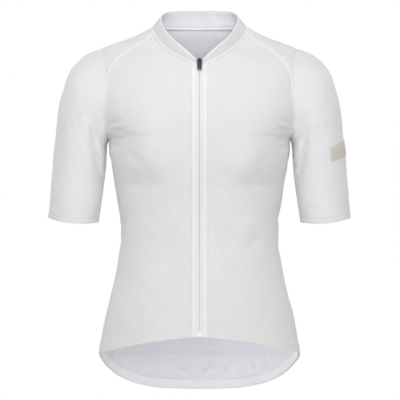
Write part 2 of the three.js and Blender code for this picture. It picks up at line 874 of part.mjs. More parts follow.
const firstFrame = sleeveFrame(0);
const loopTurns = loopCells.map(({ point }) => {
  const offset = point.clone().sub(firstFrame.middle);
  const up = offset.dot(firstFrame.arm) / firstFrame.arm.lengthSq();
  return Math.atan2(-offset.y / firstFrame.half, up);
});
const loopRest = loopCells.map(({ point }, j) => point.clone().sub(ringPoint(0, loopTurns[j])));

const sleeveShares = steps(SLEEVE_RINGS, 0, SLEEVE_RINGS, (share) => share ** 1.15);
const cuffShare = 1 - CUFF_PART;
const sleevePoints = sleeveShares.map((share) =>
  loopTurns.map((turn, j) => {
    const point = ringPoint(share * cuffShare, turn);
    return point.addScaledVector(loopRest[j], 1 - smoothStep(share, 0, 0.3));
  }),
);
const sleeveGrid = ownNormals(sleevePoints, true);
sleeveGrid.forEach((row) => row.forEach((cell) => cell.normal.negate()));

// At the armhole the sleeve stands off the body by the seam gap, more where it turns back on it
sleeveGrid[0].forEach((cell, j) => {
  const body = loopCells[j].normal;
  const away = sleeveGrid[1][j].point.clone().sub(cell.point).normalize();
  const count = loopCells.length;
  const along = loopCells[(j + 1) % count].point.clone().sub(loopCells[(j + count - 1) % count].point);
  const beyond = along.cross(body).normalize();
  const turned = (1 - away.dot(beyond)) / 2;
  const shared = smoothStep(cell.normal.dot(body), 0.3, 0.7);
  cell.point.addScaledVector(beyond, SEAM_GAP / 2);
  cell.point.addScaledVector(body, SEAM_GAP * 1.3 * turned);
  cell.normal.lerp(body, shared).normalize();
});
addPair('sleeve', sleeveGrid, CLOTH, 'smooth', true);

// Cuffs
const cuffPoints = [1, 0.5, 0].map((part) =>
  loopTurns.map((turn) => ringPoint(between(1, cuffShare, part), turn)),
);
const cuffGrid = ownNormals(cuffPoints, true);
cuffGrid.forEach((row, i) =>
  row.forEach((cell) => {
    cell.normal.negate();
    cell.point.addScaledVector(cell.normal, 0.2);
    if (i === 0) {
      cell.point.z -= SEAM_GAP;
    }
  }),
);
addPair('cuff', cuffGrid, CUFF_CLOTH, 'smooth', true);

// A place on a finished grid, between its rows and columns, moved out from the surface
function onPiece(grid, row, column, lift) {
  const i = Math.min(grid.length - 2, Math.floor(row));
  const j = Math.min(grid[0].length - 2, Math.floor(column));
  const corners = [grid[i][j], grid[i][j + 1], grid[i + 1][j], grid[i + 1][j + 1]];
  const shares = [
    (1 - (row - i)) * (1 - (column - j)),
    (1 - (row - i)) * (column - j),
    (row - i) * (1 - (column - j)),
    (row - i) * (column - j),
  ];
  const point = new THREE.Vector3();
  const normal = new THREE.Vector3();
  corners.forEach((corner, k) => {
    point.addScaledVector(corner.point, shares[k]);
    normal.addScaledVector(corner.normal, shares[k]);
  });
  normal.normalize();
  point.addScaledVector(normal, lift);
  return { point, normal };
}

// Pockets: one panel with three compartments that stand a little open at the top
const backRowOf = (row) => BODY_ROWS + HEM_ROWS - row;
function pocketSlack(column, rise) {
  const stops = [0, ...POCKET_DIVIDERS, BACK_COLUMNS];
  const k = stops.findIndex((stop, i) => column >= stop && column <= stops[i + 1]);
  const share = (column - stops[k]) / (stops[k + 1] - stops[k]);
  return POCKET_SLACK * Math.sin(share * Math.PI) ** 2 * smoothStep(rise, 0, 1);
}

function pocketCell(row, column, rise, cloth) {
  const inset = Math.min(BACK_COLUMNS - 0.1, Math.max(0.1, column));
  const lift = POCKET_LIFT + pocketSlack(column, rise) + cloth;
  return onPiece(backGrid, row, inset, lift);
}

const pocketBottom = backRowOf(BODY_ROWS);
const pocketTop = backRowOf(POCKET_TOP_ROW);
const pocketGrid = steps(pocketTop - pocketBottom, 0, pocketTop - pocketBottom, (share) =>
  steps(BACK_COLUMNS, 0, BACK_COLUMNS, (across) =>
    pocketCell(between(pocketBottom, pocketTop, share), across * BACK_COLUMNS, share, POCKET_CLOTH),
  ),
);
addPiece('pocket_panel', shell(pocketGrid, POCKET_CLOTH), 'knit');

const bandCloth = POCKET_CLOTH + 0.5;
const bandGrid = POCKET_BAND_ROWS.map((rise) =>
  steps(BACK_COLUMNS, 0, BACK_COLUMNS, (across) =>
    pocketCell(pocketTop + rise, across * BACK_COLUMNS, 1, bandCloth),
  ),
);
addPiece('pocket_band', shell(bandGrid, bandCloth), 'smooth');

// Facing inside the hem, from one front side seam round the back to the other
function gripperColumns(grid, columns) {
  const low = grid[0];
  return columns.map((j) => {
    const height = grid[1][j].point.clone().sub(low[j].point).length();
    return [0.06, GRIPPER_HEIGHT / height].map((rise) => {
      const row = Math.min(rise, HEM_ROWS - 0.1);
      return onPiece(grid, row, j, -CLOTH - GRIPPER_LIFT);
    });
  });
}

const sideColumns = steps(SIDE_COLUMNS, 0, SIDE_COLUMNS - 1, (share) => share * SIDE_COLUMNS);
const backColumns = steps(BACK_COLUMNS, 0, BACK_COLUMNS, (share) => share * BACK_COLUMNS);
const otherSide = mirrored(sideGrid);
const gripperStrip = [
  ...gripperColumns(sideGrid, sideColumns.map((j) => Math.round(j))),
  ...gripperColumns(backGrid, backColumns.map((j) => Math.round(j))),
  ...gripperColumns(otherSide, sideColumns.map((j) => Math.round(j) + 1)),
];
const gripperGrid = [0, 1].map((k) => gripperStrip.map((column) => column[k]));
addPiece('hem_gripper', shell(gripperGrid, GRIPPER_CLOTH), 'facing');

// Blank label round the outside of the left sleeve
const labelGrid = LABEL_RINGS.map((ring) =>
  LABEL_COLUMNS.map((column) => onPiece(sleeveGrid, ring, column, LABEL_LIFT + LABEL_CLOTH)),
);
addPiece('sleeve_label', shell(labelGrid, LABEL_CLOTH), 'label');

// Hard parts are drawn flat, x across, z up and -y outward, and tilted to the chest's slope
function drawFlat(shape, depth, front) {
  const geometry = new THREE.ExtrudeGeometry(shape, { depth, bevelEnabled: false });
  geometry.rotateX(Math.PI / 2);
  geometry.translate(0, front + depth, 0);
  return geometry;
}

function outline(corners) {
  return corners.map(([x, y]) => new THREE.Vector2(x, y));
}

function solidOf(geometry) {
  const bare = geometry.clone();
  bare.deleteAttribute('normal');
  bare.deleteAttribute('uv');
  const merged = mergeVertices(bare, 1e-4);
  const mesh = new wasm.Mesh({
    numProp: 3,
    vertProperties: new Float32Array(merged.getAttribute('position').array),
    triVerts: new Uint32Array(merged.getIndex().array),
  });
  return new wasm.Manifold(mesh);
}

function geometryOf(solid) {
  const mesh = solid.getMesh();
  const geometry = new THREE.BufferGeometry();
  geometry.setAttribute('position', new THREE.BufferAttribute(mesh.vertProperties, 3));
  geometry.setIndex(new THREE.BufferAttribute(mesh.triVerts, 1));
  geometry.computeVertexNormals();
  return geometry;
}

// Slider body with the bridge that holds the pull's cross bar
const sliderHalf = SLIDER_OUTLINE.map(([x, z]) => [-x, z]).reverse();
const sliderShape = new THREE.Shape(outline([...SLIDER_OUTLINE, ...sliderHalf]));
const sliderPlate = drawFlat(sliderShape, SLIDER_DEPTH, SLIDER_FACE);

const bridgeShape = new THREE.Shape(outline(BRIDGE_OUTLINE));
bridgeShape.holes.push(new THREE.Path(outline(BRIDGE_WINDOW)));
const bridge = new THREE.ExtrudeGeometry(bridgeShape, { depth: BRIDGE_WIDTH, bevelEnabled: false });
bridge.rotateY(-Math.PI / 2);
bridge.translate(BRIDGE_WIDTH / 2, SLIDER_FACE, 0);

const slope = bodyNormal(0, HINGE_HEIGHT);
const zipHead = new THREE.Group();
zipHead.position.copy(bodyPoint(0, HINGE_HEIGHT));
zipHead.rotation.x = -Math.atan2(slope.z, -slope.y);
group.add(zipHead);

const slider = addPiece('zip_slider', geometryOf(solidOf(sliderPlate).add(solidOf(bridge))), 'black');
zipHead.add(slider);

// Pull tab: a flat rounded tab whose cross bar passes under the bridge
const tabShape = new THREE.Shape();
tabShape.moveTo(-TAB.top, TAB.bar);
tabShape.lineTo(-TAB.half, -TAB.shoulder);
tabShape.lineTo(-TAB.half, -TAB.length + TAB.half);
tabShape.absarc(0, -TAB.length + TAB.half, TAB.half, Math.PI, 2 * Math.PI, false);
tabShape.lineTo(TAB.half, -TAB.shoulder);
tabShape.lineTo(TAB.top, TAB.bar);
tabShape.closePath();
const tabEye = [
  [-TAB.eye, -TAB.bar],
  [-TAB.eye, -TAB.eyeEnd],
  [TAB.eye, -TAB.eyeEnd],
  [TAB.eye, -TAB.bar],
];
tabShape.holes.push(new THREE.Path(outline(tabEye)));
const tabGeometry = drawFlat(tabShape, 2 * TAB.bar, -TAB.bar);
const tab = addPiece('zip_pull_tab', tabGeometry, 'black');
tab.position.set(0, SLIDER_FACE - BRIDGE_MIDDLE, 0);
zipHead.add(tab);

export default group;
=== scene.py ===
"""Looks of a short-sleeved full-zip cycling jersey, laid out as a Blender add-on."""

import math

import bmesh
import bpy
import numpy as np
from bpy.props import FloatProperty, FloatVectorProperty, IntProperty, PointerProperty
from mathutils import Matrix, Vector


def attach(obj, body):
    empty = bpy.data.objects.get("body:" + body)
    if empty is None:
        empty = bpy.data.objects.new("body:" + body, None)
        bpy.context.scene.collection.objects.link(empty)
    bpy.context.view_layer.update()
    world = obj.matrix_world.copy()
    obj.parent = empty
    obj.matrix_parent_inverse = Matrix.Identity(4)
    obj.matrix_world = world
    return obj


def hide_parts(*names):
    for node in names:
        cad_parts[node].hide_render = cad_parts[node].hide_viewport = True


bl_info = {
    "name": "Cycling Jersey",
    "version": (1, 0, 0),
    "blender": (4, 5, 0),
    "location": "3D View > Sidebar > Jersey",
    "description": "Builds the cloth, sewing, zip and studio of a short-sleeved cycling jersey",
    "category": "Object",
}

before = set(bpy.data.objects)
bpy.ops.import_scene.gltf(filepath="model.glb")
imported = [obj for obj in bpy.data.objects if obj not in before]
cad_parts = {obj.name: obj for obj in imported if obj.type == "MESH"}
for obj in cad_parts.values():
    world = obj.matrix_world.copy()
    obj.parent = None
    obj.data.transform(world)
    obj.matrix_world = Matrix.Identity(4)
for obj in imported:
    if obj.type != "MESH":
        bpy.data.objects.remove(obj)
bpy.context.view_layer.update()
MM = 0.001
DEGREE = math.pi / 180

# Sizes below are in millimetres, in the frame's own axes: the front faces -Y, +X is the wearer's left.

# Body rings: height, half width at the side, depth in front, depth behind, squareness
BODY_RINGS = [
    (-625, 167, 110, 121, 2.2), (-592, 167, 110, 120, 2.2), (-533, 165, 110, 116, 2.2),
    (-500, 160, 109, 111, 2.2), (-478, 156, 108, 107, 2.2), (-445, 149, 105, 101, 2.15),
    (-412, 140, 101, 94, 2.1), (-379, 134, 98, 89, 2.1), (-346, 130, 96, 87, 2.1),
    (-313, 131, 96, 88, 2.1), (-280, 136, 98, 92, 2.15), (-247, 141, 102, 97, 2.25),
    (-214, 147, 106, 102, 2.3), (-200, 149, 107, 104, 2.3), (-181, 149, 108, 105, 2.3),
    (-170, 158, 108, 106, 2.3), (-150, 168, 107, 105, 2.3), (-120, 178, 101, 102, 2.25),
    (-90, 181, 89, 96, 2.15), (-60, 178, 74, 86, 2.0), (-45, 171, 65, 78, 1.8),
    (-31, 160, 55, 70, 1.55), (-23, 141, 50, 66, 1.55), (-16.5, 122, 46, 63, 1.6),
    (-10, 106, 42, 60, 1.65), (-3, 92, 38, 57, 1.8), (6, 76, 34, 54, 2.0), (20, 52, 30, 48, 2.0),
]

# Bust form: distance from the centre, height, width across, reach up, reach down, rise
BUST_X, BUST_Z, BUST_ACROSS, BUST_UP, BUST_DOWN, BUST_RISE = 88, -206, 44, 66, 54, 10

# Large soft folds: side, start x and z, end x and z, width, depth (+ out)
BODY_FOLDS = [
    ("front", -128, -262, -78, -232, 16, -3.5), ("front", 128, -262, 84, -233, 16, -3.2),
    ("front", 22, -318, 66, -384, 15, -2.6), ("front", -30, -330, -84, -420, 17, -2.0),
    ("front", 96, -300, 60, -352, 14, 2.0), ("back", -110, -300, 10, -338, 17, -3.4),
    ("back", 96, -322, -20, -366, 16, -3.0), ("back", -96, -210, -30, -262, 18, -2.4),
    ("back", 100, -196, 34, -240, 18, -2.4),
]

# Side seam in front: height and degrees from the centre front
SIDE_SEAM = [
    (-620, 68.5), (-530, 68.7), (-503, 69), (-465, 69.5), (-427, 70), (-389, 69), (-346, 67.7),
    (-311, 67), (-280, 64.8), (-258, 66), (-245, 69), (-232, 74), (-218, 80.5), (-205, 83.6),
]

# Hem: degrees round from the centre front and height
HEM = [
    (0, -498.5), (22.5, -502.4), (42.8, -509.5), (64.7, -521.7), (78, -528.3), (90, -534.5),
    (99.5, -546.7), (108.9, -561.9), (118.7, -577.8), (133.2, -593.6), (151.8, -602.4), (180, -605),
]

# Armhole seam seen from in front: height and distance from the centre
ARMHOLE = [
    (-180, 148.8), (-176, 150), (-165, 151.8), (-143, 154.5), (-122, 153.8), (-101, 152.6),
    (-79, 152.6), (-59, 153.8), (-44, 156), (-31, 160.6),
]
ARMHOLE_MIDDLE, ARMHOLE_HALF = -105.5, 74.5
YOKE_TIP = -81
FRONT_TURN_UP, POCKET_SEAM = -465, -543
BODY_ROWS, HEM_ROWS = 14, 3

# Neckline: front as distance from the centre and height, side as degrees and height
NECKLINE_FRONT = [
    (4.8, -65.7), (12.6, -61.0), (26.9, -53.3), (43, -45.1), (53.1, -38.1), (64.5, -27.2),
    (73.7, -14.5), (77.6, -6.5),
]
NECKLINE_SIDE = [(80, -6.5), (90, 4), (104, 6), (124, 6)]
NECKLINE_BACK = 6
YOKE_SEAM = [(152.6, -81), (146, -64.5), (133.5, -49), (116, -34.5), (91, -18.5), (77.6, -6.5)]

# Collar top edge from the centre front to the centre back
COLLAR_TOP = [
    (4.7, -70.5, -53.8), (13, -69, -45.8), (27, -63, -32.9), (44.4, -50, -17), (54.7, -35, -3.3),
    (59.8, -20, 7), (62.4, -5, 16.2), (62.6, 8, 23.6), (58.5, 24, 30), (47, 36, 34),
    (28, 45, 35.8), (0, 48.5, 36.3),
]

# Sleeve rings: top x and z, underarm x and z, half depth, forward shift
SLEEVE_RINGS = [
    (160.6, -31, 149.6, -180, 55, 0), (177, -36, 151.6, -186, 55, 0), (197, -49, 152.6, -191, 54.5, -1),
    (214, -69, 153, -196, 54, -2), (225, -102, 153.2, -202, 53, -3), (232, -130, 153.4, -211, 52, -4),
    (236, -168, 154, -224, 51, -5), (240, -207, 155.6, -241, 50, -6), (243.5, -247, 158.4, -265, 49, -7),
    (246.5, -285, 162.2, -293, 48, -8), (248.5, -309, 166.5, -317, 47.5, -8),
]
CUFF_SAG, CUFF_PART = 5, 0.031
SLEEVE_FOLDS = [
    (0.42, 128, 0.2, 15, -3.4), (0.36, 104, 0.16, 15, 2.2), (0.62, 150, 0.16, 17, -2.2),
    (0.4, -126, 0.22, 15, -3.2), (0.58, -100, 0.18, 18, 2.0),
]

# Row number of the hem, and height of its turned-up cloth
HEM_ROW, TURN_UP = 17, 17

# Zip
STRIP_INNER, STRIP_OUTER, PLACKET_INNER, PLACKET_OUTER, FRONT_EDGE = 0.2, 4.5, 4.75, 12.6, 12.75
ZIP_TOP, STOP_HEIGHT, HINGE_HEIGHT = -61.8, 9, -57
SLIDER_FACE, BRIDGE_MIDDLE = -2.0, 1.2
SLIDER_OUTLINE = [
    (2.6, -4.2), (3.5, -3.2), (3.9, -0.6), (4.1, 1.8), (3.6, 3.0), (2.9, 3.5), (2.5, 4.6), (1.4, 5.3),
]

# Finer creases on the body: side, start x and z, end x and z, width, depth (+ out)
BODY_CREASES = [
    # creases that fan out from the armpits
    ("front", -150, -160, -126, -153, 3.6, -2.6), ("front", -150, -168, -120, -170, 4.2, -2.2),
    ("front", -149, -176, -124, -184, 3.8, -1.8), ("front", -148, -164, -128, -161, 3.2, 1.2),
    ("front", -147, -186, -126, -200, 4.5, -1.4), ("front", -146, -178, -118, -178, 3.4, 0.9),
    ("front", 150, -158, 130, -150, 3.6, -2.3), ("front", 149, -167, 122, -168, 4.2, -2.2),
    ("front", 149, -176, 126, -186, 3.8, -1.8), ("front", 148, -163, 128, -159, 3.2, 1.1),
    ("front", 147, -188, 124, -204, 4.5, -1.5),
    # soft drags on the chest, waist and hem
    ("front", -120, -196, -86, -238, 9, -1.6), ("front", 118, -200, 92, -240, 9, -1.5),
    ("front", -60, -246, -20, -232, 9, -0.9), ("front", 60, -246, 22, -236, 9, -0.9),
    ("front", 15, -304, 50, -384, 4.6, -2.4), ("front", 20, -300, 74, -366, 5.0, -1.5),
    ("front", 15, -338, 44, -392, 3.8, -1.6), ("front", -18, -262, -60, -300, 7, -0.7),
    ("front", -36, -352, -74, -402, 7, -0.7),
    ("front", -100, -330, -70, -352, 8, -0.9), ("front", 102, -338, 74, -360, 8, -0.9),
    ("front", -120, -440, -96, -486, 9, -0.8), ("front", 118, -452, 92, -494, 9, -0.8),
    ("front", 20, -446, 52, -452, 8, -0.6), ("front", -24, -468, -60, -462, 8, -0.6),
    # the upper back and waist
    ("back", -140, -150, -96, -176, 7, -1.8), ("back", 138, -146, 100, -178, 7, -1.7),
    ("back", -70, -60, -20, -84, 12, -0.9), ("back", 74, -66, 30, -92, 12, -0.8),
    ("back", -118, -292, -40, -322, 6, -1.5), ("back", 112, -310, 50, -334, 6, -1.4),
    ("back", -60, -352, 40, -368, 7, -1.2), ("back", -20, -250, 60, -276, 9, -1.0),
    # the tail below the pocket seam
    ("back", -52, -562, 0, -588, 4.2, -4.0), ("back", 26, -560, 4, -584, 4.0, -3.6),
    ("back", 66, -550, 38, -584, 4.0, -3.6), ("back", -88, -548, -98, -576, 3.8, -2.8),
    ("back", -108, -546, -120, -570, 3.8, -2.8), ("back", -74, -556, -80, -580, 4.2, -1.4),
    ("back", 92, -548, 100, -576, 3.8, -2.8), ("back", 110, -546, 122, -568, 3.8, -2.6),
    ("back", 78, -556, 82, -576, 4.0, -1.2), ("back", -30, -552, -12, -562, 5.0, 1.2),
    ("back", 12, -546, 46, -549, 3.5, -2.4),
]
# Creases on the sleeves: share of the length, degrees from the top, length share, width, depth, slant
SLEEVE_CREASES = [
    (0.40, 138, 0.13, 7, -2.0, 30), (0.50, 122, 0.12, 6, -1.2, 34), (0.30, 128, 0.09, 7, -1.7, 10),
    (0.34, 116, 0.10, 6, 0.9, 16), (0.58, 148, 0.14, 8, -1.3, 26), (0.24, 96, 0.08, 8, -0.7, -10),
    (0.72, 100, 0.10, 10, -0.6, 20), (0.45, 76, 0.16, 9, -0.6, 24), (0.82, 60, 0.08, 11, 0.5, -16),
    (0.38, -134, 0.14, 7, -2.0, -28), (0.52, -118, 0.12, 7, -1.3, -30), (0.30, -112, 0.10, 7, -1.0, -12),
    (0.66, -142, 0.14, 8, -1.2, -24), (0.78, -84, 0.10, 10, -0.6, -18),
]


def between(a, b, share):
    return a + (b - a) * share


def ease(value, low, high):
    share = np.clip((value - low) / (high - low), 0, 1)
    return share * share * (3 - 2 * share)


def make_curve(table, key=0, value=1):
    """Smooth curve through a table whose key column rises."""
    rows = np.array(table, float)
    keys, values = rows[:, key], rows[:, value]
    steps = np.diff(values) / np.diff(keys)
    slopes = np.empty(len(keys))
    slopes[0], slopes[-1] = steps[0], steps[-1]
    before, after = steps[:-1], steps[1:]
    total = np.where(before + after == 0, 1, before + after)
    slopes[1:-1] = np.where(before * after <= 0, 0, 2 * before * after / total)

    def read(at):
        at = np.asarray(at, float)
        i = np.clip(np.searchsorted(keys, at, side="left") - 1, 0, len(keys) - 2)
        span = keys[i + 1] - keys[i]
        t = np.clip((at - keys[i]) / span, 0, 1)
        t2, t3 = t * t, t * t * t
        return (
            values[i] * (2 * t3 - 3 * t2 + 1) + slopes[i] * span * (t3 - 2 * t2 + t)
            + values[i + 1] * (3 * t2 - 2 * t3) + slopes[i + 1] * span * (t3 - t2)
        )

    return read


def make_path(points):
    """Curve through a list of points, spaced by the distance between them."""
    rows = np.array(points, float)
    along = np.concatenate([[0], np.cumsum(np.linalg.norm(np.diff(rows, axis=0), axis=1))])
    table = np.column_stack([along / along[-1], rows])
    curves = [make_curve(table, 0, k + 1) for k in range(rows.shape[1])]
    return lambda share: [read(share) for read in curves]


half_width, front_depth, back_depth, squareness = (make_curve(BODY_RINGS, 0, k) for k in (1, 2, 3, 4))
hem_height = make_curve(HEM)
armhole_x = make_curve(ARMHOLE)
neck_height = make_curve(NECKLINE_FRONT)


def trough(x, z, folds, side):
    """Sum of the soft troughs and ridges of one side of the body."""
    total = np.zeros(np.broadcast(x, z).shape)
    for place, x0, z0, x1, z1, width, depth in folds:
        if place != side:
            continue
        length = math.hypot(x1 - x0, z1 - z0)
        along = ((x - x0) * (x1 - x0) + (z - z0) * (z1 - z0)) / length
        across = ((x - x0) * (z1 - z0) - (z - z0) * (x1 - x0)) / length
        middle = (along - length / 2) / (length * 0.5)
        total += depth * np.exp(-1.4 * middle**2 - (across / width) ** 2)
    return total


def relief(x, z, facing):
    above = np.exp(-(((z - BUST_Z) / BUST_UP) ** 2))
    below = 1 - ease(((BUST_Z - z) / BUST_DOWN) ** 2, 0, 1)
    side = (np.abs(x) - BUST_X) / BUST_ACROSS
    bust = BUST_RISE * np.exp(-(side**2)) * np.where(z > BUST_Z, above, below)
    front = trough(x, z, BODY_FOLDS, "front") + bust
    back = trough(x, z, BODY_FOLDS, "back")
    return np.where(facing > 0, front, back) * ease(np.abs(facing), 0, 0.45)


def body_form(angle, z):
    """Points on the body form, by angle from the centre front and height."""
    angle, z = np.broadcast_arrays(np.asarray(angle, float), np.asarray(z, float))
    sine, cosine = np.sin(angle), np.cos(angle)
    depth = np.where(cosine > 0, front_depth(z), back_depth(z))
    power = squareness(z)
    spread = (np.abs(sine) / half_width(z)) ** power + (np.abs(cosine) / depth) ** power
    reach = spread ** (-1 / power)
    x = reach * sine
    y = -reach * cosine - np.sign(cosine) * relief(x, z, cosine)
    return np.stack([x, y, z], axis=-1)


def unit(vectors):
    length = np.linalg.norm(vectors, axis=-1, keepdims=True)
    return vectors / np.where(length < 1e-9, 1, length)


def body_out(angle, z):
    """Outward directions of the body form."""
    around = body_form(angle + 0.004, z) - body_form(angle - 0.004, z)
    up = body_form(angle, np.asarray(z, float) + 0.6) - body_form(angle, np.asarray(z, float) - 0.6)
    return unit(np.cross(around, up))


def ripple(a, b, seed):
    """Uneven low waves over two lengths in millimetres, from -1 to 1."""
    total = 0
    for k, (fa, fb, size) in enumerate([(0.031, 0.017, 0.5), (-0.019, 0.043, 0.3), (0.067, 0.052, 0.2)]):
        phase = seed * 2.399 + k * 1.7
        bend = np.sin(b * fa * 0.7 + phase * 1.3) * 1.6
        total = total + size * np.sin(a * fa * 6.28 * 0.35 + b * fb * 6.28 * 0.35 + bend + phase)
    return total


def body_wear(angle, z, edge):
    """How far the worn cloth stands off the plain body form."""
    place = body_form(angle, z)
    facing = np.cos(angle)
    fine = np.where(
        facing > 0,
        trough(place[..., 0], z, BODY_CREASES, "front"),
        trough(place[..., 0], z, BODY_CREASES, "back"),
    ) * ease(np.abs(facing), 0.02, 0.25)
    run = angle * 120
    broad = 0.55 * ripple(run, z, 1) + 0.16 * ripple(run * 3.1, z * 2.7, 2)
    low = 0.5 * ripple(run * 1.5, z * 0.6, 5) * ease(-z, 430, 560)
    pucker = 0.34 * ripple(run * 9, z * 8, 3) * np.exp(-edge / 6)
    return fine + broad + low + pucker


def angle_at(x, z):
    """Angle at which the form stands at distance x from the centre, in front."""
    share = np.minimum(1, np.abs(x) / half_width(z))
    power = squareness(z)
    return np.arctan2(x, front_depth(z) * (1 - share**power) ** (1 / power))


def armhole_front(turn):
    z = ARMHOLE_MIDDLE + ARMHOLE_HALF * np.cos(turn)
    return angle_at(armhole_x(z), z), z


def armhole_back(turn):
    angle, z = armhole_front(turn)
    return math.pi - angle, z


YOKE_TURN = math.acos((YOKE_TIP - ARMHOLE_MIDDLE) / ARMHOLE_HALF)
UNDERARM_TURN = 168 * DEGREE
UNDERARM_ANGLE, UNDERARM_HEIGHT = (float(v) for v in armhole_front(UNDERARM_TURN))
side_seam = make_curve(SIDE_SEAM + [(UNDERARM_HEIGHT, UNDERARM_ANGLE / DEGREE)])


def underarm(share):
    share = np.asarray(share, float)
    angle = between(UNDERARM_ANGLE, math.pi - UNDERARM_ANGLE, share)
    return angle, UNDERARM_HEIGHT - 1.2 * np.sin(share * math.pi)


def body_row(row, angle):
    """Height of a body row: level down to the last drape row, then sharing out the rest to the hem."""
    degrees = np.arccos(np.cos(angle)) / DEGREE
    level = between(FRONT_TURN_UP, POCKET_SEAM, ease(degrees, 69, 111))
    upper = between(UNDERARM_HEIGHT, level, np.minimum(row, BODY_ROWS) / BODY_ROWS)
    lower = between(level, hem_height(degrees), (row - BODY_ROWS) / HEM_ROWS)
    return np.where(row <= BODY_ROWS, upper, lower)


def meet(row, angle_of_height):
    """Angle and height where each body row meets a line given as an angle for each height."""
    angle = angle_of_height(np.full(np.shape(row), -300.0))
    for _ in range(14):
        angle = angle_of_height(body_row(row, angle))
    return angle, body_row(row, angle)


def side_angle(z):
    return side_seam(z) * DEGREE


def rear_angle(z):
    return math.pi - side_seam(z) * DEGREE


neck_front_path, neck_side_path, yoke_path = (
    make_path(NECKLINE_FRONT), make_path(NECKLINE_SIDE), make_path(YOKE_SEAM)
)
open_neck_path = make_path([(FRONT_EDGE, float(neck_height(FRONT_EDGE)))] + NECKLINE_FRONT[2:])


def open_neck(share):
    x, z = open_neck_path(share)
    return angle_at(x, z), z


def yoke_front(share):
    x, z = yoke_path(share)
    return angle_at(x, z), z


YOKE_END = [float(v) for v in open_neck(1.0)]


def neck_side(share):
    degrees, z = neck_side_path(share)
    start = YOKE_END[0] - NECKLINE_SIDE[0][0] * DEGREE
    return degrees * DEGREE + start * (1 - np.asarray(share)), z


NECK_REAR = [float(v) for v in neck_side(1.0)]


def yoke_back(share):
    angle, z = yoke_front(share)
    lean = np.maximum(0, (z - YOKE_TIP) / (YOKE_END[1] - YOKE_TIP)) ** 1.6
    end = NECK_REAR[0] - (math.pi - YOKE_END[0])
    return math.pi - angle + end * lean, z + (NECK_REAR[1] - YOKE_END[1]) * lean


def armhole_top(share):
    turn = between(YOKE_TURN, -YOKE_TURN, np.asarray(share, float))
    front_angle, z = armhole_front(np.abs(turn))
    return np.where(turn >= 0, front_angle, math.pi - front_angle), z


# Meshes from grids of points


def lengths(points, axis):
    steps = np.linalg.norm(np.diff(points, axis=axis), axis=-1)
    start = np.zeros_like(np.take(steps, [0], axis=axis))
    return np.concatenate([start, np.cumsum(steps, axis=axis)], axis=axis)


def crowded(widths, step, near=(0, 0.5, 1.2, 2.2, 3.8, 6)):
    """Shares across rows of the given widths, with more points close to both edges."""
    widest = float(np.max(widths))
    count = max(4, int(round((widest - 2 * near[-1]) / step)))
    rows = []
    for width in widths:
        room = max(width, 1e-3)
        middle = np.linspace(near[-1], room - near[-1], count + 1)
        spots = np.concatenate([near[:-1], middle, room - np.array(near[:-1])[::-1]]) / room
        even = np.linspace(0, 1, len(spots))
        rows.append(between(even, spots, float(ease(width, 24, 60))))
    return np.array(rows)


def crowded_ends(count, ends=(True, True)):
    """Shares from 0 to 1 that crowd together at the chosen ends."""
    even = np.linspace(0, 1, count + 1)
    extra = np.array([0.08, 0.22, 0.45]) / count
    low = extra if ends[0] else []
    high = 1 - extra[::-1] if ends[1] else []
    return np.sort(np.concatenate([even, low, high]))


def grid_faces(rows, columns, start, wrap, flip):
    last = columns if wrap else columns - 1
    i, j = np.meshgrid(np.arange(rows - 1), np.arange(last), indexing="ij")
    nxt = (j + 1) % columns
    quads = np.stack([i * columns + j, i * columns + nxt, (i + 1) * columns + nxt, (i + 1) * columns + j], -1)
    quads = quads.reshape(-1, 4) + start
    return quads[:, ::-1] if flip else quads


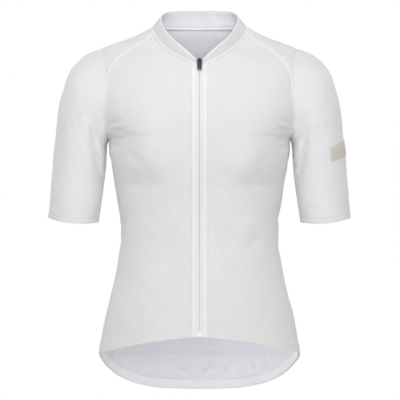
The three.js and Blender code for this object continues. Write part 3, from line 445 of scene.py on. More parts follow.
def shell_mesh(name, outer, out, cloth, edge, pale=0.0, wrap=False, run=None, pointed=False, flip=False):
    """Closed shell of cloth between a grid of outer points and the same points moved in.

    Material 0 is the outside, 1 the inside and 2 the cut or folded edges.
    """
    rows, columns = outer.shape[:2]
    inner = outer - out * cloth
    count = rows * columns
    points = [outer.reshape(-1, 3), inner.reshape(-1, 3)]
    faces = [grid_faces(rows, columns, 0, wrap, flip), grid_faces(rows, columns, count, wrap, not flip)]
    looks = [np.zeros(len(faces[0]), int), np.ones(len(faces[1]), int)]
    borders = [
        (np.arange(columns), outer[0] - outer[1], True),
        ((rows - 1) * columns + np.arange(columns), outer[-1] - outer[-2], False),
    ]
    if not wrap:
        borders.append((np.arange(rows) * columns, outer[:, 0] - outer[:, 1], False))
        borders.append((np.arange(rows) * columns + columns - 1, outer[:, -1] - outer[:, -2], True))
    flat_outer, flat_inner = points
    total = 2 * count
    for ids, away, turned in borders:
        depth = np.linalg.norm(flat_outer[ids] - flat_inner[ids], axis=-1, keepdims=True)
        middle = (flat_outer[ids] + flat_inner[ids]) / 2 + unit(away) * depth * 0.05
        points.append(middle)
        own = total + np.arange(len(ids))
        total += len(ids)
        n = len(ids) if wrap else len(ids) - 1
        a, b = np.arange(n), (np.arange(n) + 1) % len(ids)
        upper = np.stack([ids[a], own[a], own[b], ids[b]], -1)
        lower = np.stack([own[a], ids[a] + count, ids[b] + count, own[b]], -1)
        for quads in (upper, lower):
            faces.append(quads if turned != flip else quads[:, ::-1])
            looks.append(np.full(len(quads), 2))
    points = np.concatenate(points) * MM
    faces = np.concatenate(faces)
    looks = np.concatenate(looks)
    mesh = bpy.data.meshes.new(name)
    mesh.from_pydata(points.tolist(), [], faces.tolist())
    mesh.polygons.foreach_set("material_index", looks)
    mesh.polygons.foreach_set("use_smooth", np.ones(len(faces), bool))
    fields = {"edge": edge, "pale": pale + np.zeros(outer.shape[:2])}
    if run is None:
        run = np.stack([lengths(outer, 1), lengths(outer, 0)], -1)
    flat_run = np.zeros((len(points), 3), np.float32)
    flat_run[:count, :2] = run.reshape(-1, 2)
    flat_run[count:2 * count, :2] = run.reshape(-1, 2)
    layer = mesh.attributes.new("run", "FLOAT_VECTOR", "POINT")
    layer.data.foreach_set("vector", flat_run.ravel())
    for title, values in fields.items():
        flat = np.zeros(len(points), np.float32)
        flat[:count] = values.ravel()
        flat[count:2 * count] = values.ravel()
        mesh.attributes.new(title, "FLOAT", "POINT").data.foreach_set("value", flat)
    if pointed:
        close_tip(mesh)
    mesh.set_sharp_from_angle(angle=48 * DEGREE)
    mesh.validate()
    obj = bpy.data.objects.new(name, mesh)
    bpy.context.scene.collection.objects.link(obj)
    return obj


def close_tip(mesh):
    work = bmesh.new()
    work.from_mesh(mesh)
    bmesh.ops.remove_doubles(work, verts=work.verts, dist=2e-6)
    bmesh.ops.dissolve_degenerate(work, edges=work.edges, dist=1e-7)
    work.to_mesh(mesh)
    work.free()


def measure_cut(outer, wrap=False):
    """Flat width, flat length and flat area of a piece, in metres, from its outer grid."""
    ring = np.concatenate([outer, outer[:, :1]], axis=1) if wrap else outer
    width = float(np.max(lengths(ring, 1)[:, -1])) * MM
    length = float(np.max(lengths(ring, 0)[-1])) * MM
    a = ring[1:, 1:] - ring[:-1, :-1]
    b = ring[1:, :-1] - ring[:-1, 1:]
    area = float(np.sum(np.linalg.norm(np.cross(a, b), axis=-1)) / 2) * MM * MM
    return (width, length), min(area, width * length)


def own_out(points, wrap=False):
    """Directions square to a grid of points, from its own neighbours."""
    if wrap:
        along = np.roll(points, -1, axis=1) - np.roll(points, 1, axis=1)
    else:
        along = np.gradient(points, axis=1)
    up = np.gradient(points, axis=0)
    return unit(np.cross(along, up))


def dress(obj, body, node, looks, cut=None):
    """Gives a piece its materials, hangs it on the named body and hides the model part it stands for."""
    for look in looks:
        obj.data.materials.append(look)
    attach(obj, body)
    if node:
        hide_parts(node)
    return obj


def make_cloth(name, parts, node, slot_name, looks, **shape):
    """Builds one cloth piece from its outer grid, directions, edge distances, pale share and cloth."""
    outer, out, edge, *pale, thick = parts
    made = shell_mesh(name, outer, out, thick[..., None], edge, pale[0] if pale else 0.0, **shape)
    return dress(made, "garment", node, looks, measure_cut(outer, shape.get("wrap", False)))


# The wearer's sides
SIDES = ((1, "left"), (-1, "right"))


# Side creases seen from the flank: side of the body, start y and z, end y and z, width, depth
FLANK_CREASES = [
    (1, -30, -196, 6, -226, 7, -2.0), (1, 34, -200, 8, -238, 8, -1.7), (1, -46, -300, 30, -322, 7, -1.4),
    (1, 50, -338, -26, -366, 8, -1.2), (1, -20, -430, 44, -470, 10, -1.0), (1, 62, -500, 30, -540, 8, -0.9),
    (-1, -24, -198, 8, -232, 7, -2.0), (-1, 38, -204, 4, -244, 8, -1.6), (-1, -50, -312, 24, -330, 7, -1.3),
    (-1, 56, -330, -18, -352, 8, -1.3), (-1, -30, -440, 40, -462, 10, -1.0),
    (-1, 58, -506, 24, -548, 8, -0.9),
]


def flank_wear(angle, z):
    place = body_form(angle, z)
    total = np.zeros(place.shape[:-1])
    for side, y0, z0, y1, z1, width, depth in FLANK_CREASES:
        length = math.hypot(y1 - y0, z1 - z0)
        along = ((place[..., 1] - y0) * (y1 - y0) + (z - z0) * (z1 - z0)) / length
        across = ((place[..., 1] - y0) * (z1 - z0) - (z - z0) * (y1 - y0)) / length
        middle = (along - length / 2) / (length * 0.5)
        shape = depth * np.exp(-1.4 * middle**2 - (across / width) ** 2)
        total += np.where(np.sin(angle) * side > 0, shape, 0) * ease(np.abs(np.sin(angle)), 0.6, 0.85)
    return total


def worn(angle, z, edge=999.0, extra=0.0):
    """Points of the worn cloth and their outward directions."""
    angle, z = np.broadcast_arrays(np.asarray(angle, float), np.asarray(z, float))
    out = body_out(angle, z)
    strength = bpy.context.scene.jersey_sizes.crease_strength
    lift = (body_wear(angle, z, edge) + flank_wear(angle, z)) * strength + extra
    return body_form(angle, z) + out * lift[..., None], out


def distance_to(points, line):
    """Distance of each point of a grid from a line of points."""
    start, way = line[:-1], np.diff(line, axis=0)
    size = np.maximum(np.sum(way * way, axis=-1), 1e-12)
    found = np.empty(points.shape[:-1])
    for i, row in enumerate(points):
        away = row[:, None, :] - start[None]
        share = np.clip(np.sum(away * way[None], axis=-1) / size, 0, 1)
        gap = away - share[..., None] * way[None]
        found[i] = np.sqrt(np.min(np.sum(gap * gap, axis=-1), axis=1))
    return found


def dip(distance, depth, width):
    return -depth * np.exp(-((distance / width) ** 2))


def lay(first, last, rows, step):
    """Angles and heights across a panel between its two edges, row by row."""
    upper = np.isnan(rows)[:, None]
    number = np.nan_to_num(rows)[:, None]

    def at(shares):
        angle = between(first[:, :1], last[:, :1], shares)
        level = between(first[:, 1:], last[:, 1:], shares)
        return angle, np.where(upper, level, body_row(number, angle))

    even = np.repeat(np.linspace(0, 1, 25)[None], len(rows), axis=0)
    widths = lengths(body_form(*at(even)), 1)[:, -1]
    return at(crowded(widths, step, near=(0.08, 0.6, 1.3, 2.3, 3.3, 5)))


def pairs(found):
    return np.stack(np.broadcast_arrays(*found), axis=-1)


def mesh_step():
    return bpy.context.scene.jersey_sizes.mesh_step


def hem_rows():
    """Row numbers from the hem up to the underarm."""
    low = HEM_ROW - 3 * crowded_ends(int(36 / mesh_step()), (True, False))[:-1]
    high = np.linspace(14, 0, int(300 / mesh_step()) + 1)
    return np.concatenate([low, high])


def zip_angle(x):
    return lambda z: angle_at(x, z)


def upper_shares():
    """Shares up the armhole and then up the yoke seam."""
    low = np.linspace(0, 1, int(110 / mesh_step()) + 1)[1:]
    high = np.linspace(0, 1, int(80 / mesh_step()) + 1)[1:]
    return low, high


def front_edge_line():
    """Armhole from the underarm up, then the yoke seam up to the collar."""
    arm = pairs(armhole_front(between(UNDERARM_TURN, YOKE_TURN, np.linspace(0, 1, 60))))
    yoke = pairs(yoke_front(np.linspace(0, 1, 60)))
    return np.concatenate([arm, yoke[1:]])


def on_form(line, side=1):
    return body_form(line[:, 0] * side, line[:, 1])


def turn_up(above, puckers):
    """Doubled cloth and the stitched groove of a hem, by the height above its edge."""
    folded = 0.55 * (1 - ease(above, 16.2, 17.6))
    return folded + dip(above - TURN_UP - 0.6, 0.6, 1.2) + puckers * np.exp(-np.abs(above - TURN_UP) / 5)


def front_panel(side, cloth):
    rows = hem_rows()
    low, high = upper_shares()
    first = [pairs(meet(rows, zip_angle(FRONT_EDGE)))]
    last = [pairs(meet(rows, side_angle))]
    z = between(UNDERARM_HEIGHT, float(neck_height(FRONT_EDGE)), low)
    first += [pairs((angle_at(FRONT_EDGE, z), z)), pairs(open_neck(high))]
    last += [pairs(armhole_front(between(UNDERARM_TURN, YOKE_TURN, low))), pairs(yoke_front(high))]
    first, last = np.concatenate(first), np.concatenate(last)
    count = np.concatenate([rows, np.full(len(first) - len(rows), np.nan)])
    angle, z = lay(first, last, count, mesh_step())
    angle = angle * side
    base = body_form(angle, z)
    seam_line = on_form(pairs(meet(np.linspace(HEM_ROW, 0, 160), side_angle)), side)
    arm_line = on_form(front_edge_line(), side)
    neck_line = on_form(pairs(open_neck(np.linspace(0, 1, 80))), side)
    zip_gap = np.abs(base[..., 0]) - FRONT_EDGE
    seam, arm, neck = (distance_to(base, line) for line in (seam_line, arm_line, neck_line))
    above = z - hem_height(np.abs(angle) / DEGREE)
    puckers = 0.3 * ripple(angle * 1300, z * 2, 8)
    welt = 0.75 * (1 - ease(arm, 2.9, 3.9)) + dip(arm - 4.6, 0.35, 1.0)
    shape = dip(seam, 0.4, 1.2) + dip(arm, 0.35, 0.7) + dip(neck, 0.35, 1.0) + dip(zip_gap, 0.05, 0.9)
    shape = shape + welt + turn_up(above, puckers)
    edge = np.minimum(np.minimum(seam, arm), neck)
    outer, out = worn(angle, z, edge, shape)
    thick = cloth * (1 + 0.8 * (1 - ease(above, 16.4, 18)))
    return outer, out, np.minimum(edge, np.maximum(zip_gap, 0)), 1 - ease(arm, 2.7, 3.7), thick


def side_panel(side, cloth):
    rows = hem_rows()
    first, last = pairs(meet(rows, side_angle)), pairs(meet(rows, rear_angle))
    angle, z = lay(first, last, rows, mesh_step())
    share = (angle - first[:, :1]) / (last[:, :1] - first[:, :1])
    top_angle, top_z = underarm(share)
    tuck = ease(-rows, -0.6, 0)[:, None]
    angle = between(angle, top_angle, tuck) * side
    z = between(z, top_z - 0.1, tuck)
    base = body_form(angle, z)
    length = np.linspace(HEM_ROW, 0, 160)
    lines = [on_form(pairs(meet(length, edge)), side) for edge in (side_angle, rear_angle)]
    arm = distance_to(base, on_form(pairs(underarm(np.linspace(0, 1, 30))), side))
    seam = np.minimum(distance_to(base, lines[0]), distance_to(base, lines[1]))
    above = z - hem_height(np.abs(angle) / DEGREE)
    puckers = 0.25 * ripple(angle * 1300, z * 2, 9)
    shape = dip(seam, 0.4, 1.2) + dip(arm, 0.35, 1.0) + turn_up(above, puckers)
    edge = np.minimum(seam, arm)
    outer, out = worn(angle, z, edge, shape)
    return outer, out, edge, 0.0, np.full(z.shape, cloth)


def across_back(line):
    return np.stack([2 * math.pi - line[:, 0], line[:, 1]], axis=-1)


def back_edge_line():
    arm = pairs(armhole_back(between(UNDERARM_TURN, YOKE_TURN, np.linspace(0, 1, 60))))
    yoke = pairs(yoke_back(np.linspace(0, 1, 60)))
    return np.concatenate([arm, yoke[1:]])


def back_panel(cloth):
    rows = hem_rows()
    low, high = upper_shares()
    first = np.concatenate([
        pairs(meet(rows, rear_angle)),
        pairs(armhole_back(between(UNDERARM_TURN, YOKE_TURN, low))),
        pairs(yoke_back(high)),
    ])
    count = np.concatenate([rows, np.full(len(first) - len(rows), np.nan)])
    angle, z = lay(first, across_back(first), count, mesh_step())
    base = body_form(angle, z)
    neck = distance_to(base, neck_back_line())
    seams, arms = [], []
    for side in (1, -1):
        seams.append(distance_to(base, on_form(pairs(meet(np.linspace(HEM_ROW, 0, 160), rear_angle)), side)))
        arms.append(distance_to(base, on_form(back_edge_line(), side)))
    seam, arm = np.minimum(*seams), np.minimum(*arms)
    above = z - hem_height(np.arccos(np.cos(angle)) / DEGREE)
    puckers = 0.25 * ripple(angle * 1300, z * 2, 10)
    welt = 0.5 * (1 - ease(arm, 2.9, 3.9))
    shape = dip(seam, 0.4, 1.2) + dip(arm, 0.4, 0.9) + welt + dip(neck, 0.35, 1.0) + turn_up(above, puckers)
    shape = shape + dip(z - body_row(BODY_ROWS, angle), 0.9, 1.3)
    edge = np.minimum(np.minimum(seam, arm), neck)
    outer, out = worn(angle, z, edge, shape)
    return outer, out, edge, 1 - ease(arm, 2.7, 3.7), np.full(z.shape, cloth)


def shoulder_panel(side, cloth):
    down = crowded_ends(int(110 / mesh_step()))
    round_ = crowded_ends(int(120 / mesh_step()))
    v = 0.001 + 0.998 * down[:, None]
    u = 0.001 + 0.998 * round_[None, :]
    corners = [armhole_top(0), armhole_top(1), neck_side(0), neck_side(1)]
    place = []
    for k in (0, 1):
        across = between(armhole_top(u)[k], neck_side(u)[k], v)
        along = between(yoke_front(v)[k], yoke_back(v)[k], u)
        low = between(corners[0][k], corners[1][k], u)
        high = between(corners[2][k], corners[3][k], u)
        place.append(across + along - between(low, high, v))
    angle, z = place[0] * side, place[1]
    base = body_form(angle, z)
    share = np.linspace(0, 1, 70)
    front = distance_to(base, on_form(pairs(yoke_front(share)), side))
    rear = distance_to(base, on_form(pairs(yoke_back(share)), side))
    arm = distance_to(base, on_form(pairs(armhole_top(share)), side))
    neck = distance_to(base, on_form(pairs(neck_side(share)), side))
    edge = np.minimum(np.minimum(front, rear), np.minimum(arm, neck))
    shape = dip(np.minimum(front, rear), 0.35, 1.0) + dip(arm, 0.35, 1.0) + dip(neck, 0.35, 1.0)
    outer, out = worn(angle, z, edge, shape)
    return outer, out, edge, np.full(z.shape, cloth)


def armhole_ring():
    """Angles and heights round the whole armhole, from the front of the yoke over the top."""
    step = mesh_step()
    parts = [
        pairs(armhole_top(np.linspace(0, 1, int(120 / step) + 1))),
        pairs(armhole_back(between(YOKE_TURN, UNDERARM_TURN, np.linspace(0, 1, int(120 / step) + 1)[1:]))),
        pairs(underarm(1 - np.linspace(0, 1, int(80 / step) + 1)[1:])),
        pairs(armhole_front(between(UNDERARM_TURN, YOKE_TURN, np.linspace(0, 1, int(120 / step) + 1)[1:-1]))),
    ]
    return np.concatenate(parts)


sleeve_path = make_path(SLEEVE_RINGS)


def sleeve_frame(share):
    top_x, top_z, under_x, under_z, half, shift = sleeve_path(share)
    top = np.stack([top_x, shift, top_z], -1)
    under = np.stack([under_x, shift, under_z], -1)
    return (top + under) / 2, (top - under) / 2, half


def sleeve_relief(share, turn, folds, sharp=14):
    total = 0
    for fold in folds:
        at, degrees, length, width, depth = fold[:5]
        slant = fold[5] if len(fold) > 5 else sharp
        along = (share - at) / length
        across = (turn / DEGREE - degrees - along * slant) / width
        total = total + depth * np.exp(-(along**2) - across**2)
    return total


def sleeve_form(share, turn, seed=None):
    """Points on the sleeve's form; a seed adds the finer creases of one sleeve."""
    middle, arm, half = sleeve_frame(share)
    fold = sleeve_relief(share, turn, SLEEVE_FOLDS)
    if seed is not None:
        strength = bpy.context.scene.jersey_sizes.crease_strength
        fine = sleeve_relief(share, turn + seed * 0.02, SLEEVE_CREASES)
        broad = 0.5 * ripple(turn * 60, share * 300, 20 + seed) + 0.2 * ripple(turn * 170, share * 700, seed)
        fold = fold + (fine + broad * ease(share, 0.02, 0.12)) * strength
    grown = 1 + fold / half
    sag = CUFF_SAG * np.sin(turn) ** 2 * ease(share, 0.5, 1)
    point = middle + arm * (np.cos(turn) * grown)[..., None]
    point = point - np.stack([0 * turn, np.sin(turn) * half * grown, sag + 0 * turn], -1)
    return point


def sleeve_turns(ring):
    """Turn of each point of the armhole ring about the sleeve's own middle."""
    middle, arm, half = (value[0] for value in sleeve_frame(np.array([0.0])))
    offset = body_form(ring[:, 0], ring[:, 1]) - middle
    up = offset @ arm / (arm @ arm)
    return np.arctan2(-offset[:, 1] / half, up)


def sleeve_grid(side, seed, rows, ring=None, turns=None):
    """Sleeve points for shares of its length; the first ring lies on the worn armhole."""
    place, out = worn(ring[:, 0] * side, ring[:, 1])
    place = place * np.array([side, 1.0, 1.0])
    share, turn = np.broadcast_arrays(rows[:, None], turns[None])
    rest = place - sleeve_form(np.zeros_like(turns), turns, seed)
    points = sleeve_form(share * (1 - CUFF_PART), turn, seed)
    points = points + rest[None] * (1 - ease(share, 0, 0.3))[..., None]
    return points, out * np.array([side, 1.0, 1.0])


def sleeve_panel(side, seed, cloth):
    ring = armhole_ring()
    turns = sleeve_turns(ring)
    rows = crowded_ends(int(300 / mesh_step()), (True, True)) ** 1.15
    points, ring_out = sleeve_grid(side, seed, rows, ring, turns)
    out = -own_out(points, wrap=True)
    away = unit(points[1] - points[0])
    along = np.roll(body_form(ring[:, 0], ring[:, 1]), -1, axis=0) - np.roll(
        body_form(ring[:, 0], ring[:, 1]), 1, axis=0
    )
    beyond = unit(np.cross(along, ring_out))
    turned = (1 - np.sum(away * beyond, axis=-1, keepdims=True)) / 2
    shared = ease(np.sum(out[0] * ring_out, axis=-1, keepdims=True), 0.3, 0.7)
    out[0] = unit(between(out[0], ring_out, shared))
    edge = lengths(points, 0)
    foot = edge[-1:] - edge
    pucker = 0.3 * ripple(turns[None] * 500, edge * 7, 40 + seed) * np.exp(-edge / 6)
    shape = dip(edge, 0.35, 1.1) + pucker * ease(edge, 0, 2) + dip(foot, 0.3, 0.8)
    points = points + out * shape[..., None]
    points[0] = points[0] + beyond * 0.05 + ring_out * 0.45 * turned
    mirror = np.array([side, 1.0, 1.0])
    return points * mirror, out * mirror, np.minimum(edge, foot + 0.6), np.full(edge.shape, cloth)


def cuff_band(side, seed, cloth):
    ring = armhole_ring()
    turns = sleeve_turns(ring)
    drop = np.concatenate([[0.0, 0.08, 0.2], np.linspace(0.35, 0.85, 5), [0.95, 0.99]])
    share = between(1.0, 1 - CUFF_PART, drop)[:, None]
    share, turn = np.broadcast_arrays(share, turns[None])
    points = sleeve_form(share, turn, seed)
    out = own_out(points, wrap=True)
    swell = 0.35 * np.sin(drop * math.pi)[:, None] + 0.12 * ripple(turn * 400, share * 0, 50 + seed)
    points = points + out * (0.15 + swell)[..., None]
    points[0, :, 2] -= 0.3
    mirror = np.array([side, 1.0, 1.0])
    return points * mirror, out * mirror, lengths(points, 0), np.full(turn.shape, cloth)


# Neckline from the centre front round to the centre back, on the wearer's left


def half_neckline():
    front = pairs(neck_front(np.zeros(1)))
    opened = pairs(open_neck(np.linspace(0, 1, 60)))
    over = pairs(neck_side(np.linspace(0, 1, 50)[1:]))
    return np.concatenate([front, opened, over, neck_back_half()[1:]])


def neck_back_half():
    angle = np.linspace(NECK_REAR[0], math.pi, 40)
    return np.stack([angle, np.full(angle.shape, float(NECKLINE_BACK))], -1)


def neck_back_line():
    half = neck_back_half()
    whole = np.concatenate([half, across_back(half)[::-1][1:]])
    return body_form(whole[:, 0], whole[:, 1])


def neck_front(share):
    x, z = neck_front_path(share)
    return angle_at(x, z), z


collar_top = make_path(COLLAR_TOP)


def collar_band(cloth):
    half = half_neckline()
    seam = body_form(half[:, 0], half[:, 1])
    walked = np.concatenate([[0], np.cumsum(np.linalg.norm(np.diff(seam, axis=0), axis=1))])
    walked = walked / walked[-1]
    even = crowded_ends(int(230 / mesh_step()), (True, False))
    angle = np.interp(even, walked, half[:, 0])
    height = np.interp(even, walked, half[:, 1])
    high = np.stack(collar_top(even), -1)
    low_rows, high_rows = [0.004, 0.03, 0.06, 0.1, 0.14], [0.91, 0.95, 0.98, 1.0]
    rows = np.concatenate([low_rows, np.linspace(0.2, 0.86, 12), high_rows])
    halves = []
    for side in (1, -1):
        low, out = worn(angle * side, height)
        mirror = np.array([side, 1.0, 1.0])
        points = between(low[None], (high * mirror)[None], rows[:, None, None])
        halves.append(points + out[None] * (np.sin(rows * math.pi) * 1.2)[:, None, None])
    points = np.concatenate([halves[0], halves[1][:, ::-1][:, 1:]], axis=1)
    out = own_out(points)
    edge = distance_to(points, points[0])
    brim = distance_to(points, points[-1])
    run = lengths(points, 1)
    ends = np.minimum(run, run[:, -1:] - run)
    band = 0.4 * (1 - ease(edge, 3.0, 4.0)) + dip(edge, 0.4, 0.8) + dip(edge - 4.8, 0.25, 1.0)
    rim = 0.45 * (1 - ease(brim, 2.0, 2.8)) + dip(brim - 3.2, 0.25, 0.8)
    soft = 0.5 * ripple(run * 0.9, edge * 1.4, 31) + 0.3 * ripple(run * 3.2, edge * 2, 32)
    soft = soft * ease(edge, 1, 10) * ease(brim, 0, 8)
    shape = band + rim + soft + dip(ends, 0.4, 1.2)
    thick = cloth * (1 + 0.15 * (1 - ease(brim, 2, 2.8)))
    pale = np.maximum(1 - ease(edge, 3.0, 4.0), 1 - ease(brim, 2.0, 2.8))
    return points + out * shape[..., None], out, np.minimum(edge, brim), pale, thick


def zip_upright(inner, outer, side, start, top_of, count):
    """Grid of a strip beside the zip, from the hem plus a start height to its top."""
    rows = hem_rows()
    low, _ = upper_shares()
    shares = np.linspace(0, 1, count)[None]
    inner_low, outer_low = pairs(meet(rows, zip_angle(inner))), pairs(meet(rows, zip_angle(outer)))
    rise = start * ease(-(hem_rows() - HEM_ROW), 3, 0)[:, None]
    angle = between(inner_low[:, :1], outer_low[:, :1], shares)
    z = between(inner_low[:, 1:], outer_low[:, 1:], shares) + rise
    ends = []
    for x in (inner, outer):
        height = between(UNDERARM_HEIGHT, float(top_of(x)), low)
        ends.append(pairs((angle_at(x, height), height)))
    high_angle = between(ends[0][:, :1], ends[1][:, :1], shares)
    high_z = between(ends[0][:, 1:], ends[1][:, 1:], shares)
    return np.concatenate([angle, high_angle]) * side, np.concatenate([z, high_z])


def placket_strip(side, cloth):
    count = 11
    angle, z = zip_upright(PLACKET_INNER, PLACKET_OUTER + 0.1, side, 0, neck_height, count)
    base = body_form(angle, z)
    inner, outer_gap = np.abs(base[..., 0]) - PLACKET_INNER, PLACKET_OUTER + 0.1 - np.abs(base[..., 0])
    above = z - hem_height(np.abs(angle) / DEGREE)
    edge = np.minimum(inner, outer_gap)
    shape = 0.25 + dip(inner, 0.1, 0.6) + dip(outer_gap, 0.25, 0.8)
    shape = shape + 0.12 * ripple(angle * 60, z * 5, 60 + side) + dip(above - TURN_UP, 0.3, 1.0)
    outer, out = worn(angle, z, 999.0, shape)
    return outer, out, edge, 0.75, np.full(z.shape, cloth)


def zip_strip(side, cloth):
    angle, z = zip_upright(STRIP_INNER + 0.35, 7.5, side, STOP_HEIGHT + 0.6, lambda x: ZIP_TOP, 22)
    base = body_form(angle, z)
    inner = np.abs(base[..., 0]) - STRIP_INNER - 0.3
    outer_gap = STRIP_OUTER - np.abs(base[..., 0])
    crown = 0.75 * ease(inner, -0.1, 1.5)
    under = 1.75 * ease(-outer_gap, -0.35, 0.6)
    shape = 0.1 + crown - under + 0.05 * ripple(angle * 60, z * 6, 63 + side)
    outer, out = worn(angle, z, 999.0, shape)
    return outer, out, np.minimum(inner, outer_gap), 0.75, np.full(z.shape, cloth)


POCKET_STOPS = (0, 4 / 14, 10 / 14, 1)


def pocket_slack(across, rise):
    total = np.zeros(np.broadcast(across, rise).shape)
    for low, high in zip(POCKET_STOPS[:-1], POCKET_STOPS[1:]):
        inside = (across >= low) & (across <= high)
        total += np.where(inside, 2.4 * np.sin((across - low) / (high - low) * math.pi) ** 2, 0)
    return total * ease(rise, 0, 1)


def pocket_place(across, row):
    first, z = meet(np.asarray(row, float), rear_angle)
    angle = between(first, 2 * math.pi - first, across)
    return angle, body_row(row, angle)


def pocket_panel(cloth):
    rise = crowded_ends(int(160 / mesh_step()))[:, None]
    across = (0.0075 + 0.985 * crowded_ends(int(330 / mesh_step())))[None]
    row = between(14, 8, rise) + 0 * across
    angle, z = pocket_place(across, row)
    sides = np.minimum(across, 1 - across) * 330
    inner_seams = np.minimum(np.abs(across - POCKET_STOPS[1]), np.abs(across - POCKET_STOPS[2])) * 330
    foot = rise * 170 + 0 * across
    loose = 0.5 * ripple(across * 330, rise * 160, 70) + 0.35 * ripple(across * 900, rise * 120, 71)
    loose = loose * ease(rise, 0.04, 0.5) * ease(inner_seams, 0, 16) * 1.6
    shape = 0.5 + 1.3 + pocket_slack(across, rise) + loose
    shape = shape + dip(foot - 3, 0.5, 1.0) + dip(inner_seams, 0.7, 1.1) + dip(sides, 0.6, 1.4)
    outer, out = worn(angle, z, 999.0, shape)
    edge = np.minimum(np.minimum(foot, sides), inner_seams)
    return outer, out, edge, np.full(z.shape, cloth)


def pocket_band(cloth):
    rise = np.array([0.02, 0.05, 0.1, 0.17, 0.22, 0.27, 0.34, 0.39, 0.42])[:, None]
    across = (0.0075 + 0.985 * crowded_ends(int(330 / mesh_step())))[None]
    angle, z = pocket_place(across, 8 - rise + 0 * across)
    inner_seams = np.minimum(np.abs(across - POCKET_STOPS[1]), np.abs(across - POCKET_STOPS[2])) * 330
    round_edge = np.sin((rise - 0.02) / 0.4 * math.pi)
    loose = 0.35 * ripple(across * 330, 160, 70) * ease(inner_seams, 0, 16) * 1.6
    gather = 0.22 * np.sin(across * 330 * 1.35) * round_edge
    shape = 0.5 + 1.9 + pocket_slack(across, np.ones_like(rise)) + loose + 0.35 * round_edge + gather
    outer, out = worn(angle, z, 999.0, shape)
    return outer, out, np.full(z.shape, 9.0), np.full(z.shape, cloth)


def hem_facing(cloth):
    rise = np.array([1.2, 1.7, 2.4, 4, 6, 8, 10, 12, 14, 15.4, 16.2, 16.8])[:, None]
    low = float(side_seam(-520)) * DEGREE + 0.004
    angle = np.linspace(low, 2 * math.pi - low, int(760 / mesh_step()))[None] + 0 * rise
    z = hem_height(np.arccos(np.cos(angle)) / DEGREE) + rise
    puckers = 0.25 * ripple(angle * 1300, z * 2, 10) * np.exp(-np.abs(rise - TURN_UP) / 5)
    edge = np.minimum(rise, TURN_UP - rise) + 0 * angle
    shape = -1.75 + puckers - dip(edge, 0.3, 0.8)
    outer, out = worn(angle, z, 999.0, shape)
    return outer, out, edge, np.full(z.shape, cloth)


def label_patch(cloth):
    ring = pairs(armhole_top(np.linspace(0.0, 0.6, 61)))
    turns = sleeve_turns(ring)
    rows = np.linspace(8.53, 9.65, 26) / 14
    points, _ = sleeve_grid(1, 1, rows**1.15, ring, turns)
    points = points[:, 1:59]
    out = -own_out(points)
    run, along = lengths(points, 1), lengths(points, 0)
    edge = np.minimum(np.minimum(run, run[:, -1:] - run), np.minimum(along, along[-1:] - along))
    shape = 1.0 - 0.4 * np.exp(-((edge / 0.9) ** 2)) + dip(edge - 1.8, 0.15, 0.5)
    shape = shape + 0.1 * ripple(run * 3, along * 5, 81)
    return points + out * shape[..., None], out, edge, np.full(edge.shape, cloth)


# Sewing lines: each is a list of worn places with the outward direction at each


def seam_places(angle, z, aside=0.0, lift=0.0):
    place, out = worn(angle, z)
    along = unit(np.gradient(place, axis=0))
    return place + np.cross(out, along) * aside + out * lift, out


def front_sewing():
    """Turn-up, yoke and armhole welt, side seams and placket edges."""
    lines = []
    for side in (1, -1):
        angle = np.linspace(angle_at(13.6, -480.0), side_angle(-520.0) - 0.008, 160) * side
        lines.append(seam_places(angle, hem_height(np.abs(angle) / DEGREE) + TURN_UP, lift=0.28))
        edge = front_edge_line()[4:]
        lines.append(seam_places(edge[:, 0] * side, edge[:, 1], aside=2.5 * side, lift=0.92))
        rows = np.linspace(16.9, 0.3, 200)
        seam = pairs(meet(rows, side_angle))
        lines.append(seam_places(seam[:, 0] * side, seam[:, 1], aside=2.0 * side, lift=0.08))
        for x in (6.4, 11.4):
            low = pairs(meet(rows, zip_angle(x)))
            z = np.linspace(UNDERARM_HEIGHT, float(neck_height(x)) - 1, 60)[1:]
            line = np.concatenate([low, pairs((angle_at(x, z), z))])
            lines.append(seam_places(line[:, 0] * side, line[:, 1], lift=0.42))
    return lines


def back_sewing():
    lines = []
    start = float(side_seam(-520)) * DEGREE
    angle = np.linspace(start, 2 * math.pi - start, 400)
    z = hem_height(np.arccos(np.cos(angle)) / DEGREE) + TURN_UP
    lines.append(seam_places(angle, z, lift=-0.1))
    for side in (1, -1):
        edge = back_edge_line()[4:]
        lines.append(seam_places(edge[:, 0] * side, edge[:, 1], aside=-2.5 * side, lift=0.62))
        rows = np.linspace(16.9, 0.3, 200)
        seam = pairs(meet(rows, rear_angle))
        lines.append(seam_places(seam[:, 0] * side, seam[:, 1], aside=-2.0 * side, lift=0.08))
        share = np.linspace(0.02, 0.99, 60)
        yoke = pairs(yoke_front(share))
        lines.append(seam_places(yoke[:, 0] * side, yoke[:, 1], aside=-1.6 * side, lift=0.0))
    return lines


def pocket_sewing():
    lines = []
    across = np.linspace(0.012, 0.988, 240)
    for row in (13.87, 13.79):
        angle, z = pocket_place(across, np.full(across.shape, row))
        lines.append(seam_places(angle, z, lift=1.75))
    for stop in (POCKET_STOPS[1], POCKET_STOPS[2]):
        for offset in (-0.0035, 0.0035):
            rise = np.linspace(0.01, 0.99, 120)
            angle, z = pocket_place(np.full(rise.shape, stop + offset), between(14, 8, rise))
            lines.append(seam_places(angle, z, lift=1.55))
    for rise in (7.93, 7.63):
        angle, z = pocket_place(across, np.full(across.shape, rise))
        slack = pocket_slack(across, np.ones_like(across))
        place, out = worn(angle, z, 999.0, 2.62 + slack)
        lines.append((place, out))
    return lines


